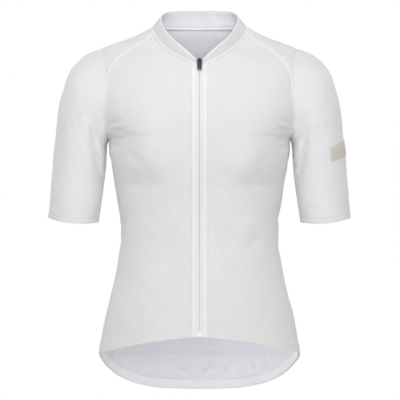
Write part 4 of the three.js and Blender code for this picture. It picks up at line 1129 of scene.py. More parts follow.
def inside_sewing(cloth):
    """Lines that show on the inside: pocket seam, dividers and facing."""
    lines = []
    across = np.linspace(0.012, 0.988, 240)
    for row in (13.95, 14.12):
        angle, z = pocket_place(across, np.full(across.shape, row))
        place, out = worn(angle, z, 999.0, -cloth - 0.95)
        lines.append((place, -out))
    for stop in (POCKET_STOPS[1], POCKET_STOPS[2]):
        for offset in (-0.006, 0.006):
            rise = np.linspace(0.01, 0.99, 120)
            angle, z = pocket_place(np.full(rise.shape, stop + offset), between(14, 8, rise))
            place, out = worn(angle, z, 999.0, -cloth - 0.3)
            lines.append((place, -out))
    start = float(side_seam(-520)) * DEGREE + 0.01
    angle = np.linspace(start, 2 * math.pi - start, 400)
    for rise in (15.2, 2.6):
        z = hem_height(np.arccos(np.cos(angle)) / DEGREE) + rise
        place, out = worn(angle, z, 999.0, -3.0)
        lines.append((place, -out))
    return lines


def neck_cover(cloth):
    """Wide cover stitching over the back neck seam, on the inside."""
    neck = neck_back_half()
    whole = np.concatenate([neck, across_back(neck)[::-1][1:]])
    place, out = worn(whole[:, 0], whole[:, 1] - 0.5, 999.0, -cloth - 0.35)
    return [(place, -out)]


def sleeve_sewing():
    lines = []
    for side in (1, -1):
        seed = 1 if side > 0 else 2
        ring = armhole_ring()
        turns = sleeve_turns(ring)
        mirror = np.array([side, 1.0, 1.0])
        points, _ = sleeve_grid(side, seed, np.linspace(0.0, 1, 120), ring, turns)
        out = -own_out(points, wrap=True)
        for row in (115, 117):
            lines.append(((points[row] + out[row] * 0.12) * mirror, out[row] * mirror))
    return lines


def collar_sewing(cloth):
    outer, out = collar_band(cloth)[:2]
    edge = distance_to(outer, outer[0])
    brim = distance_to(outer, outer[-1])
    lines = []
    for field, want, lift in ((edge, 2.4, 0.1), (brim, 2.6, 0.05)):
        k = np.argmin(np.abs(field - want), axis=0)
        columns = np.arange(outer.shape[1])
        place, way = outer[k, columns], out[k, columns]
        below = np.clip(k - 1, 0, None)
        step = field[k, columns] - field[below, columns] + 1e-9
        share = np.clip((want - field[below, columns]) / step, 0, 1.2)
        place = between(outer[below, columns], place, share[:, None])
        lines.append((place[2:-2] + way[2:-2] * lift, way[2:-2]))
    return lines


# Cloth, thread and hard materials


def link(tree, source, target):
    tree.links.new(source, target)


def new_node(tree, kind, **values):
    node = tree.nodes.new(kind)
    for key, value in values.items():
        setattr(node, key, value)
    return node


def group_tree(name, inputs, outputs):
    """Empty shader group with plain number inputs and outputs."""
    tree = bpy.data.node_groups.new(name, "ShaderNodeTree")
    for title, value in inputs:
        socket = tree.interface.new_socket(title, in_out="INPUT", socket_type="NodeSocketFloat")
        socket.default_value = value
    for title in outputs:
        tree.interface.new_socket(title, in_out="OUTPUT", socket_type="NodeSocketFloat")
    return tree, new_node(tree, "NodeGroupInput"), new_node(tree, "NodeGroupOutput")


def math_node(tree, operation, first, second=None):
    node = new_node(tree, "ShaderNodeMath", operation=operation)
    for socket, value in zip(node.inputs, (first, second)):
        if value is None:
            continue
        if isinstance(value, (int, float)):
            socket.default_value = value
        else:
            link(tree, value, socket)
    return node.outputs[0]


def noise_value(tree, vector, scale, detail=2.0, rough=0.5):
    node = new_node(tree, "ShaderNodeTexNoise")
    node.inputs["Scale"].default_value = scale
    node.inputs["Detail"].default_value = detail
    node.inputs["Roughness"].default_value = rough
    link(tree, vector, node.inputs["Vector"])
    return node.outputs["Fac"]


def paint_seam_shade(tree, feed, result, height, fleck, width):
    """Puts out the relief and flecks, and a painted shade that darkens the colour near the edges of a piece,
    where the seams sit in grooves.
    """
    edge = new_node(tree, "ShaderNodeAttribute", attribute_name="edge")
    near = math_node(tree, "DIVIDE", edge.outputs["Fac"], width)
    fall = math_node(tree, "MULTIPLY", math_node(tree, "MULTIPLY", near, near), -1.0)
    shade = math_node(tree, "MULTIPLY", math_node(tree, "EXPONENT", fall), feed.outputs["Painted Seam Shade"])
    link(tree, height, result.inputs["Height"])
    link(tree, fleck, result.inputs["Fleck"])
    link(tree, math_node(tree, "SUBTRACT", 1.0, shade), result.inputs["Shade"])
    return tree


def knit_group():
    """Knitted loops: ribs along the piece, stitches across and a flecked yarn."""
    name = "Knit Surface"
    if name in bpy.data.node_groups:
        return bpy.data.node_groups[name]
    # The last input sets how strongly the colour is darkened near a piece's edges, a painted shade.
    inputs = [("Rib Width", 1.3), ("Loop Length", 1.1), ("Fleck Size", 620.0), ("Painted Seam Shade", 0.04)]
    tree, feed, result = group_tree(name, inputs, ["Height", "Fleck", "Shade"])
    run = new_node(tree, "ShaderNodeAttribute", attribute_name="run")
    split = new_node(tree, "ShaderNodeSeparateXYZ")
    link(tree, run.outputs["Vector"], split.inputs[0])
    across = math_node(tree, "DIVIDE", split.outputs[0], feed.outputs["Rib Width"])
    along = math_node(tree, "DIVIDE", split.outputs[1], feed.outputs["Loop Length"])
    rib = math_node(tree, "SINE", math_node(tree, "MULTIPLY", across, 6.2832))
    bend = math_node(tree, "MULTIPLY", math_node(tree, "ABSOLUTE", rib), 2.2)
    loop = math_node(tree, "SINE", math_node(tree, "ADD", math_node(tree, "MULTIPLY", along, 6.2832), bend))
    ribs, loops = math_node(tree, "MULTIPLY", rib, 0.6), math_node(tree, "MULTIPLY", loop, 0.4)
    height = math_node(tree, "ADD", ribs, loops)
    place = new_node(tree, "ShaderNodeTexCoord")
    stretch = new_node(tree, "ShaderNodeMapping")
    stretch.inputs["Scale"].default_value = (0.35, 0.35, 1.0)
    link(tree, place.outputs["Object"], stretch.inputs["Vector"])
    noise = new_node(tree, "ShaderNodeTexNoise")
    noise.inputs["Detail"].default_value = 3.0
    noise.inputs["Roughness"].default_value = 0.65
    link(tree, stretch.outputs[0], noise.inputs["Vector"])
    link(tree, feed.outputs["Fleck Size"], noise.inputs["Scale"])
    broad = noise_value(tree, place.outputs["Object"], 14.0, 3.0)
    fleck = math_node(tree, "ADD", math_node(tree, "MULTIPLY", noise.outputs["Fac"], 0.75),
                      math_node(tree, "MULTIPLY", broad, 0.25))
    return paint_seam_shade(tree, feed, result, height, fleck, 1.1)


def weave_group():
    """Fine woven threads with a slightly uneven tone."""
    name = "Woven Surface"
    if name in bpy.data.node_groups:
        return bpy.data.node_groups[name]
    # The last input sets how strongly the colour is darkened near a piece's edges, a painted shade.
    inputs = [("Thread Width", 0.7), ("Painted Seam Shade", 0.03)]
    tree, feed, result = group_tree(name, inputs, ["Height", "Fleck", "Shade"])
    run = new_node(tree, "ShaderNodeAttribute", attribute_name="run")
    split = new_node(tree, "ShaderNodeSeparateXYZ")
    link(tree, run.outputs["Vector"], split.inputs[0])
    across = math_node(tree, "DIVIDE", split.outputs[0], feed.outputs["Thread Width"])
    along = math_node(tree, "DIVIDE", split.outputs[1], feed.outputs["Thread Width"])
    warp = math_node(tree, "SINE", math_node(tree, "MULTIPLY", across, 6.2832))
    weft = math_node(tree, "SINE", math_node(tree, "MULTIPLY", along, 6.2832))
    height = math_node(tree, "MULTIPLY", warp, weft)
    place = new_node(tree, "ShaderNodeTexCoord")
    fine = noise_value(tree, place.outputs["Object"], 900.0, 2.0)
    broad = noise_value(tree, place.outputs["Object"], 18.0, 3.0)
    fleck = math_node(tree, "MULTIPLY", math_node(tree, "ADD", fine, broad), 0.5)
    return paint_seam_shade(tree, feed, result, height, fleck, 1.0)


# Tone of the raised bonded bands
PALE = (0.90, 0.895, 0.915)


def cloth_look(name, colour, group, contrast=0.07, rough=0.85, sheen=0.25, bump=0.25, depth=0.0003, **sizes):
    """A cloth material: the group's tone over one colour, its relief as a bump."""
    if name in bpy.data.materials:
        return bpy.data.materials[name]
    look = bpy.data.materials.new(name)
    look.use_nodes = True
    tree = look.node_tree
    shader = tree.nodes["Principled BSDF"]
    cloth = new_node(tree, "ShaderNodeGroup", node_tree=group)
    for title, value in sizes.items():
        cloth.inputs[title.replace("_", " ").title()].default_value = value
    tone = new_node(tree, "ShaderNodeMix", data_type="RGBA")
    tone.inputs["A"].default_value = (*[value * (1 - contrast) for value in colour], 1)
    tone.inputs["B"].default_value = (*[min(1, value * (1 + contrast)) for value in colour], 1)
    spread = new_node(tree, "ShaderNodeMapRange")
    spread.inputs["From Min"].default_value = 0.3
    spread.inputs["From Max"].default_value = 0.7
    link(tree, cloth.outputs["Fleck"], spread.inputs["Value"])
    link(tree, spread.outputs["Result"], tone.inputs["Factor"])
    # Multiplies the tone by the group's Shade output, the painted shade near seams.
    shaded = new_node(tree, "ShaderNodeMix", data_type="RGBA", blend_type="MULTIPLY")
    shaded.inputs["Factor"].default_value = 1.0
    link(tree, tone.outputs["Result"], shaded.inputs["A"])
    link(tree, cloth.outputs["Shade"], shaded.inputs["B"])
    band = new_node(tree, "ShaderNodeAttribute", attribute_name="pale")
    raised_tone = new_node(tree, "ShaderNodeMix", data_type="RGBA")
    raised_tone.inputs["B"].default_value = (*PALE, 1)
    link(tree, math_node(tree, "MULTIPLY", band.outputs["Fac"], 0.8), raised_tone.inputs["Factor"])
    link(tree, shaded.outputs["Result"], raised_tone.inputs["A"])
    link(tree, raised_tone.outputs["Result"], shader.inputs["Base Color"])
    grain = math_node(tree, "ADD", math_node(tree, "MULTIPLY", cloth.outputs["Fleck"], 0.12), rough - 0.06)
    link(tree, grain, shader.inputs["Roughness"])
    raised = new_node(tree, "ShaderNodeBump")
    raised.inputs["Strength"].default_value = bump
    raised.inputs["Distance"].default_value = depth
    link(tree, cloth.outputs["Height"], raised.inputs["Height"])
    link(tree, raised.outputs["Normal"], shader.inputs["Normal"])
    shader.inputs["Sheen Weight"].default_value = sheen
    shader.inputs["Sheen Roughness"].default_value = 0.6
    shader.inputs["Specular IOR Level"].default_value = 0.3
    return look


def hard_look(name, colour, rough=0.3, metal=0.0, coat=0.0, scratch=0.08):
    """A painted or moulded material with fine rubbing."""
    if name in bpy.data.materials:
        return bpy.data.materials[name]
    look = bpy.data.materials.new(name)
    look.use_nodes = True
    tree = look.node_tree
    shader = tree.nodes["Principled BSDF"]
    place = new_node(tree, "ShaderNodeTexCoord")
    rub = noise_value(tree, place.outputs["Object"], 700.0, 4.0, 0.6)
    tone = new_node(tree, "ShaderNodeMix", data_type="RGBA")
    tone.inputs["A"].default_value = (*colour, 1)
    tone.inputs["B"].default_value = (*[min(1, value * 1.5 + 0.01) for value in colour], 1)
    link(tree, rub, tone.inputs["Factor"])
    link(tree, tone.outputs["Result"], shader.inputs["Base Color"])
    grain = math_node(tree, "ADD", math_node(tree, "MULTIPLY", rub, scratch), rough)
    link(tree, grain, shader.inputs["Roughness"])
    raised = new_node(tree, "ShaderNodeBump")
    raised.inputs["Strength"].default_value = 0.15
    raised.inputs["Distance"].default_value = 0.0001
    link(tree, rub, raised.inputs["Height"])
    link(tree, raised.outputs["Normal"], shader.inputs["Normal"])
    shader.inputs["Metallic"].default_value = metal
    shader.inputs["Coat Weight"].default_value = coat
    return look


def colours():
    return bpy.context.scene.jersey_colours


def knit_looks():
    own = colours()
    inner = cloth_look("Knit Inside", own.inside, knit_group(), 0.05, 0.9, 0.15, 0.2)
    outer = cloth_look("Knit", own.knit, knit_group(), 0.05, 0.86, 0.3, 0.28)
    return [outer, inner, outer]


def smooth_looks():
    own = colours()
    inner = cloth_look("Smooth Inside", own.inside, weave_group(), 0.04, 0.85, 0.15, 0.15)
    outer = cloth_look("Smooth Cloth", own.smooth, weave_group(), 0.035, 0.72, 0.35, 0.15)
    return [outer, inner, outer]


# Repeated sewing and zip teeth, built by node trees


def geometry_tree(name, inputs):
    tree = bpy.data.node_groups.new(name, "GeometryNodeTree")
    tree.interface.new_socket("Geometry", in_out="INPUT", socket_type="NodeSocketGeometry")
    for title, kind, value in inputs:
        socket = tree.interface.new_socket(title, in_out="INPUT", socket_type=kind)
        if value is not None:
            socket.default_value = value
    tree.interface.new_socket("Geometry", in_out="OUTPUT", socket_type="NodeSocketGeometry")
    return tree, new_node(tree, "NodeGroupInput"), new_node(tree, "NodeGroupOutput")


def repeat_tree():
    """Small rounded bodies set along lines, each turned to the line and to the cloth."""
    name = "Bodies Along Lines"
    if name in bpy.data.node_groups:
        return bpy.data.node_groups[name]
    number, whole = "NodeSocketFloat", "NodeSocketInt"
    tree, feed, result = geometry_tree(name, [
        ("Pitch", number, 0.0027), ("Length", number, 0.0021), ("Width", number, 0.0006),
        ("Height", number, 0.0005), ("Stagger", number, 0.0), ("Uneven", number, 0.12),
        ("Seed", whole, 3), ("Material", "NodeSocketMaterial", None),
    ])
    curve = new_node(tree, "GeometryNodeMeshToCurve")
    link(tree, feed.outputs["Geometry"], curve.inputs["Mesh"])
    spaced = new_node(tree, "GeometryNodeResampleCurve", mode="LENGTH")
    link(tree, curve.outputs["Curve"], spaced.inputs["Curve"])
    link(tree, feed.outputs["Pitch"], spaced.inputs["Length"])
    body = new_node(tree, "GeometryNodeMeshUVSphere")
    body.inputs["Segments"].default_value = 6
    body.inputs["Rings"].default_value = 5
    body.inputs["Radius"].default_value = 0.5
    turned = new_node(tree, "GeometryNodeTransform")
    turned.inputs["Rotation"].default_value = (0, math.pi / 2, 0)
    link(tree, body.outputs["Mesh"], turned.inputs["Geometry"])
    smooth = new_node(tree, "GeometryNodeSetShadeSmooth")
    link(tree, turned.outputs["Geometry"], smooth.inputs["Geometry"])
    tangent = new_node(tree, "GeometryNodeInputTangent")
    outward = new_node(tree, "GeometryNodeInputNamedAttribute", data_type="FLOAT_VECTOR")
    outward.inputs["Name"].default_value = "out"
    first = new_node(tree, "FunctionNodeAlignRotationToVector", axis="X")
    link(tree, tangent.outputs["Tangent"], first.inputs["Vector"])
    second = new_node(tree, "FunctionNodeAlignRotationToVector", axis="Z", pivot_axis="X")
    link(tree, first.outputs["Rotation"], second.inputs["Rotation"])
    link(tree, outward.outputs["Attribute"], second.inputs["Vector"])
    size = new_node(tree, "ShaderNodeCombineXYZ")
    for title, axis in (("Length", "X"), ("Width", "Y"), ("Height", "Z")):
        link(tree, feed.outputs[title], size.inputs[axis])
    chance = new_node(tree, "FunctionNodeRandomValue", data_type="FLOAT")
    low = math_node(tree, "SUBTRACT", 1.0, feed.outputs["Uneven"])
    high = math_node(tree, "ADD", 1.0, feed.outputs["Uneven"])
    link(tree, low, chance.inputs[2])
    link(tree, high, chance.inputs[3])
    link(tree, feed.outputs["Seed"], chance.inputs["Seed"])
    scaled = new_node(tree, "ShaderNodeVectorMath", operation="SCALE")
    link(tree, size.outputs[0], scaled.inputs[0])
    link(tree, chance.outputs[1], scaled.inputs["Scale"])
    side = new_node(tree, "ShaderNodeVectorMath", operation="CROSS_PRODUCT")
    link(tree, outward.outputs["Attribute"], side.inputs[0])
    link(tree, tangent.outputs["Tangent"], side.inputs[1])
    index = new_node(tree, "GeometryNodeInputIndex")
    parity = math_node(tree, "MODULO", index.outputs[0], 2.0)
    swing = math_node(tree, "MULTIPLY", math_node(tree, "SUBTRACT", parity, 0.5), feed.outputs["Stagger"])
    shift = new_node(tree, "ShaderNodeVectorMath", operation="SCALE")
    link(tree, side.outputs[0], shift.inputs[0])
    link(tree, swing, shift.inputs["Scale"])
    moved = new_node(tree, "GeometryNodeSetPosition")
    link(tree, spaced.outputs["Curve"], moved.inputs["Geometry"])
    link(tree, shift.outputs[0], moved.inputs["Offset"])
    placed = new_node(tree, "GeometryNodeInstanceOnPoints")
    link(tree, moved.outputs["Geometry"], placed.inputs["Points"])
    link(tree, smooth.outputs["Geometry"], placed.inputs["Instance"])
    link(tree, second.outputs["Rotation"], placed.inputs["Rotation"])
    link(tree, scaled.outputs[0], placed.inputs["Scale"])
    solid = new_node(tree, "GeometryNodeRealizeInstances")
    link(tree, placed.outputs["Instances"], solid.inputs["Geometry"])
    painted = new_node(tree, "GeometryNodeSetMaterial")
    link(tree, solid.outputs["Geometry"], painted.inputs["Geometry"])
    link(tree, feed.outputs["Material"], painted.inputs["Material"])
    link(tree, painted.outputs["Geometry"], result.inputs[0])
    return tree


def sew(name, lines, look, slot_name=None, **sizes):
    """Sets small bodies along lines of worn places and keeps them as one plain mesh."""
    points, outs, edges, start = [], [], [], 0
    for place, out in lines:
        points.append(place * MM)
        outs.append(out)
        edges += [(start + i, start + i + 1) for i in range(len(place) - 1)]
        start += len(place)
    mesh = bpy.data.meshes.new(name + " lines")
    mesh.from_pydata(np.concatenate(points).tolist(), edges, [])
    layer = mesh.attributes.new("out", "FLOAT_VECTOR", "POINT")
    layer.data.foreach_set("vector", np.concatenate(outs).astype(np.float32).ravel())
    holder = bpy.data.objects.new(name + " lines", mesh)
    bpy.context.scene.collection.objects.link(holder)
    tree = repeat_tree()
    modifier = holder.modifiers.new("Repeat", "NODES")
    modifier.node_group = tree
    for item in tree.interface.items_tree:
        if item.item_type == "SOCKET" and item.in_out == "INPUT" and item.name in sizes:
            modifier[item.identifier] = sizes[item.name]
        if item.item_type == "SOCKET" and item.name == "Material":
            modifier[item.identifier] = look
    graph = bpy.context.evaluated_depsgraph_get()
    made = bpy.data.meshes.new_from_object(holder.evaluated_get(graph))
    bpy.data.objects.remove(holder)
    for title in ("out",):
        if title in made.attributes:
            made.attributes.remove(made.attributes[title])
    made.name = name
    if not made.polygons:
        raise RuntimeError(name + " came out empty")
    obj = bpy.data.objects.new(name, made)
    bpy.context.scene.collection.objects.link(obj)
    if not made.materials:
        made.materials.append(look)
    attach(obj, "garment")
    return obj


# Hard parts


def plate(name, outlines, thickness, bevel):
    """Flat plate with rounded edges from outlines in x and z; later outlines are holes."""
    curve = bpy.data.curves.new(name, "CURVE")
    curve.dimensions = "2D"
    curve.fill_mode = "BOTH"
    curve.extrude = (thickness / 2 - bevel) * MM
    curve.bevel_depth = bevel * MM
    curve.bevel_resolution = 3
    curve.offset = -bevel * MM
    for corners in outlines:
        line = curve.splines.new("POLY")
        line.points.add(len(corners) - 1)
        for point, (x, z) in zip(line.points, corners):
            point.co = (x * MM, z * MM, 0, 1)
        line.use_cyclic_u = True
    holder = bpy.data.objects.new(name, curve)
    bpy.context.scene.collection.objects.link(holder)
    graph = bpy.context.evaluated_depsgraph_get()
    mesh = bpy.data.meshes.new_from_object(holder.evaluated_get(graph))
    bpy.data.objects.remove(holder)
    mesh.transform(Matrix.Rotation(math.pi / 2, 4, "X"))
    return mesh


def round_corners(corners, radius, steps=4):
    """Closed outline with each corner cut to a small arc."""
    made = []
    count = len(corners)
    for i, corner in enumerate(corners):
        here = Vector(corner)
        before, after = Vector(corners[i - 1]), Vector(corners[(i + 1) % count])
        size = min(radius, (before - here).length * 0.45, (after - here).length * 0.45)
        first = here + (before - here).normalized() * size
        last = here + (after - here).normalized() * size
        for k in range(steps + 1):
            share = k / steps
            made.append(tuple(first.lerp(here, share).lerp(here.lerp(last, share), share)))
    return made


def join(name, meshes):
    work = bmesh.new()
    for mesh in meshes:
        work.from_mesh(mesh)
    bmesh.ops.remove_doubles(work, verts=work.verts, dist=1e-7)
    bmesh.ops.recalc_face_normals(work, faces=work.faces)
    whole = bpy.data.meshes.new(name)
    work.to_mesh(whole)
    work.free()
    whole.materials.clear()
    whole.polygons.foreach_set("use_smooth", np.ones(len(whole.polygons), bool))
    whole.set_sharp_from_angle(angle=40 * DEGREE)
    obj = bpy.data.objects.new(name, whole)
    bpy.context.scene.collection.objects.link(obj)
    return obj


def zip_head():
    """Place of the slider on the sloping chest."""
    place, slope = body_form(0.0, HINGE_HEIGHT), body_out(0.0, float(HINGE_HEIGHT))
    turn = -math.atan2(slope[2], -slope[1])
    return Matrix.Translation(Vector(place) * MM) @ Matrix.Rotation(turn, 4, "X")


def moved(mesh, x=0.0, y=0.0, z=0.0):
    mesh.transform(Matrix.Translation(Vector((x, y, z)) * MM))
    return mesh


def slider_object():
    right = SLIDER_OUTLINE
    outline = round_corners(right + [(-x, z) for x, z in reversed(right)], 0.6, 3)
    back = moved(plate("slider", [outline], 1.0, 0.3), y=0.5)
    face = moved(plate("slider", [outline], 1.1, 0.4), y=SLIDER_FACE + 0.55)
    core = moved(plate("slider", [[(1.2, 4.9), (1.2, -3.4), (-1.2, -3.4), (-1.2, 4.9)]], 2.2, 0.2), y=-0.6)
    bridge_side = [(-2.6, 0.5), (-2.6, -2.0), (-1.6, -3.25), (1.6, -3.25), (2.6, -2.0), (2.6, 0.5)]
    window = [(-1.5, 0.1), (-1.5, -1.95), (-1.05, -2.4), (1.05, -2.4), (1.5, -1.95), (1.5, 0.1)]
    loop = plate("slider", [round_corners(bridge_side, 0.6), window], 1.8, 0.25)
    turn = Matrix(((0, 1, 0, 0), (0, 0, 1, SLIDER_FACE * MM), (1, 0, 0, 0), (0, 0, 0, 1)))
    loop.transform(turn)
    obj = join("zip_slider_body", [back, face, core, loop])
    obj.data.transform(zip_head())
    return obj


def tab_object():
    half, top, length = 3.8, 3.3, 19.0
    arc = [(-half * math.cos(k * math.pi / 16), -length + half - half * math.sin(k * math.pi / 16))
           for k in range(17)]
    outline = [(-top, 0.55), (-half, -3.0)] + arc + [(half, -3.0), (top, 0.55)]
    eye = [(-1.5, -0.55), (-1.5, -3.5), (1.5, -3.5), (1.5, -0.55)]
    base = plate("tab", [outline, round_corners(eye, 0.3)], 1.1, 0.3)
    grip = [(-2.4, -5.4), (2.4, -5.4), (2.4, -14.6), (1.7, -16.0), (0, -16.7), (-1.7, -16.0), (-2.4, -14.6)]
    inner = [(x * 0.68, -10.8 + (z + 10.8) * 0.86) for x, z in grip]
    rim = moved(plate("tab", [round_corners(grip, 0.8), round_corners(inner, 0.6)], 0.5, 0.14), y=-0.62)
    ribs = []
    for z in (-8.0, -9.8, -11.6, -13.4):
        corners = [(-1.1, z), (1.1, z), (1.1, z - 0.55), (-1.1, z - 0.55)]
        ribs.append(moved(plate("tab", [round_corners(corners, 0.2)], 0.4, 0.1), y=-0.6))
    obj = join("zip_tab_body", [base, rim, *ribs])
    obj.data.transform(zip_head() @ Matrix.Translation((0, (SLIDER_FACE - BRIDGE_MIDDLE) * MM, 0)))
    return obj


def stop_object():
    middle = float(hem_height(0.0)) + STOP_HEIGHT / 2
    half = (STOP_HEIGHT - 0.4) / 2
    outline = round_corners([(-4.4, -half), (4.4, -half), (4.4, half), (-4.4, half)], 1.0)
    box = plate("stop", [outline], 3.0, 0.5)
    ridge = []
    for x in (-2.6, 2.6):
        corners = [(x - 0.5, -3), (x + 0.5, -3), (x + 0.5, 3), (x - 0.5, 3)]
        ridge.append(moved(plate("stop", [round_corners(corners, 0.4)], 0.6, 0.2), y=-1.6))
    obj = join("zip_box", [box, *ridge])
    depth = float(body_form(0.0, middle)[1]) + 0.5
    obj.data.transform(Matrix.Translation(Vector((0, depth, middle)) * MM))
    return obj


def zip_line():
    """Centre of the closed teeth, from the bottom box up to the slider."""
    z = np.linspace(float(hem_height(0.0)) + STOP_HEIGHT, ZIP_TOP - 0.5, 400)
    place, out = worn(np.zeros_like(z), z, 999.0, 0.15)
    return place, out


# The add-on's own settings


class JerseySizes(bpy.types.PropertyGroup):
    """Sizes that a user would change"""

    cloth: FloatProperty(
        name="Cloth thickness", description="Thickness of the body and sleeve cloth",
        default=0.0011, min=0.0006, max=0.0014, unit="LENGTH",
    )
    collar_cloth: FloatProperty(
        name="Collar thickness", description="Thickness of the folded collar band",
        default=0.0019, min=0.001, max=0.002, unit="LENGTH",
    )
    mesh_step: FloatProperty(
        name="Mesh step", description="Spacing of the cloth mesh in millimetres",
        default=2.4, min=1.8, max=8.0,
    )
    crease_strength: FloatProperty(
        name="Crease strength", description="How deep the fine creases are, as a share of the worn look",
        default=1.0, min=0.0, max=2.0, subtype="FACTOR",
    )
    stitch_pitch: FloatProperty(
        name="Stitch pitch", description="Distance from one stitch to the next",
        default=0.0028, min=0.0018, max=0.006, unit="LENGTH",
    )
    tooth_pitch: FloatProperty(
        name="Tooth pitch", description="Distance from one zip tooth to the next",
        default=0.0013, min=0.0008, max=0.004, unit="LENGTH",
    )
    seed: IntProperty(name="Seed", description="Seed of the stitch lengths", default=3, min=0)


def colour_setting(title, about, value):
    return FloatVectorProperty(
        name=title, description=about, default=value, min=0.0, max=1.0, size=3, subtype="COLOR",
    )


class JerseyColours(bpy.types.PropertyGroup):
    """Colours that a user would change"""

    knit: colour_setting("Body knit", "Knit of the front, sides and back", (0.79, 0.788, 0.785))
    smooth: colour_setting("Smooth cloth", "Shoulders, sleeves, cuffs and collar", (0.785, 0.783, 0.80))
    # The collar cloth is darker than the body knit: partly its own tone, partly painted shade on the collar's
    # turned-away sides.
    collar: colour_setting("Collar cloth", "Outer face of the collar", (0.70, 0.70, 0.71))
    # The inner face is painted lighter than the outer cloth, standing in for light inside the shaded hollow
    # of the garment.
    inside: colour_setting("Inside", "Inner face of the cloth", (0.90, 0.885, 0.925))
    thread: colour_setting("Thread", "Sewing thread", (0.80, 0.79, 0.81))
    zip_cloth: colour_setting("Zip strips", "Raised strips over the teeth", (0.82, 0.815, 0.84))
    slider: colour_setting("Slider", "Slider and its pull", (0.012, 0.012, 0.014))
    label: colour_setting("Label", "Blank sleeve label", (0.70, 0.655, 0.60))


def sizes():
    return bpy.context.scene.jersey_sizes


def thickness(name="cloth"):
    return getattr(sizes(), name) / MM


class JERSEY_OT_body(bpy.types.Operator):
    """Front halves, side panels and back"""

    bl_idname = "jersey.body"
    bl_label = "Body panels"
    bl_options = {"REGISTER", "UNDO"}

    def execute(self, context):
        cloth = thickness()
        for side, word in SIDES:
            make_cloth(f"front_panel_{word}", front_panel(side, cloth), f"front_{word}", "knit",
                       knit_looks(), pointed=True, flip=side < 0)
            make_cloth(f"side_panel_{word}", side_panel(side, cloth), f"side_{word}", "knit",
                       knit_looks(), flip=side < 0)
        make_cloth("back_panel", back_panel(cloth), "back", "knit", knit_looks())
        return {"FINISHED"}


class JERSEY_OT_shoulders(bpy.types.Operator):
    """Smooth cloth yokes over both shoulders"""

    bl_idname = "jersey.shoulders"
    bl_label = "Shoulders"
    bl_options = {"REGISTER", "UNDO"}

    def execute(self, context):
        for side, word in SIDES:
            make_cloth(f"shoulder_yoke_{word}", shoulder_panel(side, thickness()), f"shoulder_{word}",
                       "smooth_cloth", smooth_looks(), flip=side < 0)
        return {"FINISHED"}


class JERSEY_OT_sleeves(bpy.types.Operator):
    """Set-in sleeves and their bonded cuffs"""

    bl_idname = "jersey.sleeves"
    bl_label = "Sleeves and cuffs"
    bl_options = {"REGISTER", "UNDO"}

    def execute(self, context):
        for side, word, seed in ((1, "left", 1), (-1, "right", 2)):
            make_cloth(f"sleeve_tube_{word}", sleeve_panel(side, seed, thickness()), f"sleeve_{word}",
                       "smooth_cloth", smooth_looks(), wrap=True, flip=side > 0)
            make_cloth(f"cuff_band_{word}", cuff_band(side, seed, thickness() + 0.5), f"cuff_{word}",
                       "smooth_cloth", smooth_looks(), wrap=True, flip=side < 0)
        return {"FINISHED"}


class JERSEY_OT_collar(bpy.types.Operator):
    """Low stand-up collar"""

    bl_idname = "jersey.collar"
    bl_label = "Collar"
    bl_options = {"REGISTER", "UNDO"}

    def execute(self, context):
        # The collar colour carries some painted shade as well as the cloth's tone.
        band = cloth_look("Collar Cloth", colours().collar, weave_group(), 0.035, 0.75, 0.3, 0.15)
        make_cloth("collar_cloth", collar_band(thickness("collar_cloth")), "collar", "smooth_cloth",
                   [band, smooth_looks()[1], band])
        return {"FINISHED"}


class JERSEY_OT_zip(bpy.types.Operator):
    """Plackets, raised strips, teeth, slider, pull tab and bottom box"""

    bl_idname = "jersey.zip"
    bl_label = "Zip"
    bl_options = {"REGISTER", "UNDO"}

    def execute(self, context):
        own = colours()
        strip = cloth_look("Zip Strip", own.zip_cloth, weave_group(), 0.05, 0.6, 0.1, 0.3, Thread_Width=0.5)
        for side, word in SIDES:
            make_cloth(f"placket_band_{word}", placket_strip(side, thickness()), f"placket_{word}",
                       "smooth_cloth", smooth_looks(), flip=side < 0)
            make_cloth(f"zip_tape_{word}", zip_strip(side, 1.1), f"zip_strip_{word}", "zip_strip",
                       [strip] * 3, flip=side < 0)
        teeth = hard_look("Zip Teeth", [value * 0.8 for value in own.zip_cloth], 0.4)
        sew("zip_teeth", [zip_line()], teeth, "zip_strip", Pitch=sizes().tooth_pitch, Length=0.00085,
            Width=0.0019, Height=0.0011, Stagger=0.0007, Uneven=0.0, Seed=sizes().seed)
        black = hard_look("Slider Black", own.slider, 0.32, 0.1, 0.35)
        dress(slider_object(), "garment", "zip_slider", [black])
        dress(tab_object(), "pull_tab", "zip_pull_tab", [black])
        moulded = hard_look("Moulded White", (0.78, 0.78, 0.80), 0.4, 0.0, 0.1)
        dress(stop_object(), "garment", "zip_stop", [moulded])
        return {"FINISHED"}


class JERSEY_OT_pockets(bpy.types.Operator):
    """Back pocket panel and its elastic top band"""

    bl_idname = "jersey.pockets"
    bl_label = "Back pockets"
    bl_options = {"REGISTER", "UNDO"}

    def execute(self, context):
        make_cloth("pocket_cloth", pocket_panel(thickness()), "pocket_panel", "knit", knit_looks())
        make_cloth("pocket_edge", pocket_band(2.0), "pocket_band", "smooth_cloth", smooth_looks())
        return {"FINISHED"}


class JERSEY_OT_hem(bpy.types.Operator):
    """Facing inside the back and side hem"""

    bl_idname = "jersey.hem"
    bl_label = "Hem facing"
    bl_options = {"REGISTER", "UNDO"}

    def execute(self, context):
        own = colours()
        # The facing takes the inner face's colour, painted lighter for the shaded hollow, and lifts it
        # further.
        ribbed = cloth_look("Hem Facing", [value * 1.12 for value in own.inside], weave_group(), 0.05, 0.7,
                            0.1, 0.3, Thread_Width=1.2)
        make_cloth("hem_facing_cloth", hem_facing(1.1), "hem_gripper", "facing", [ribbed] * 3)
        return {"FINISHED"}


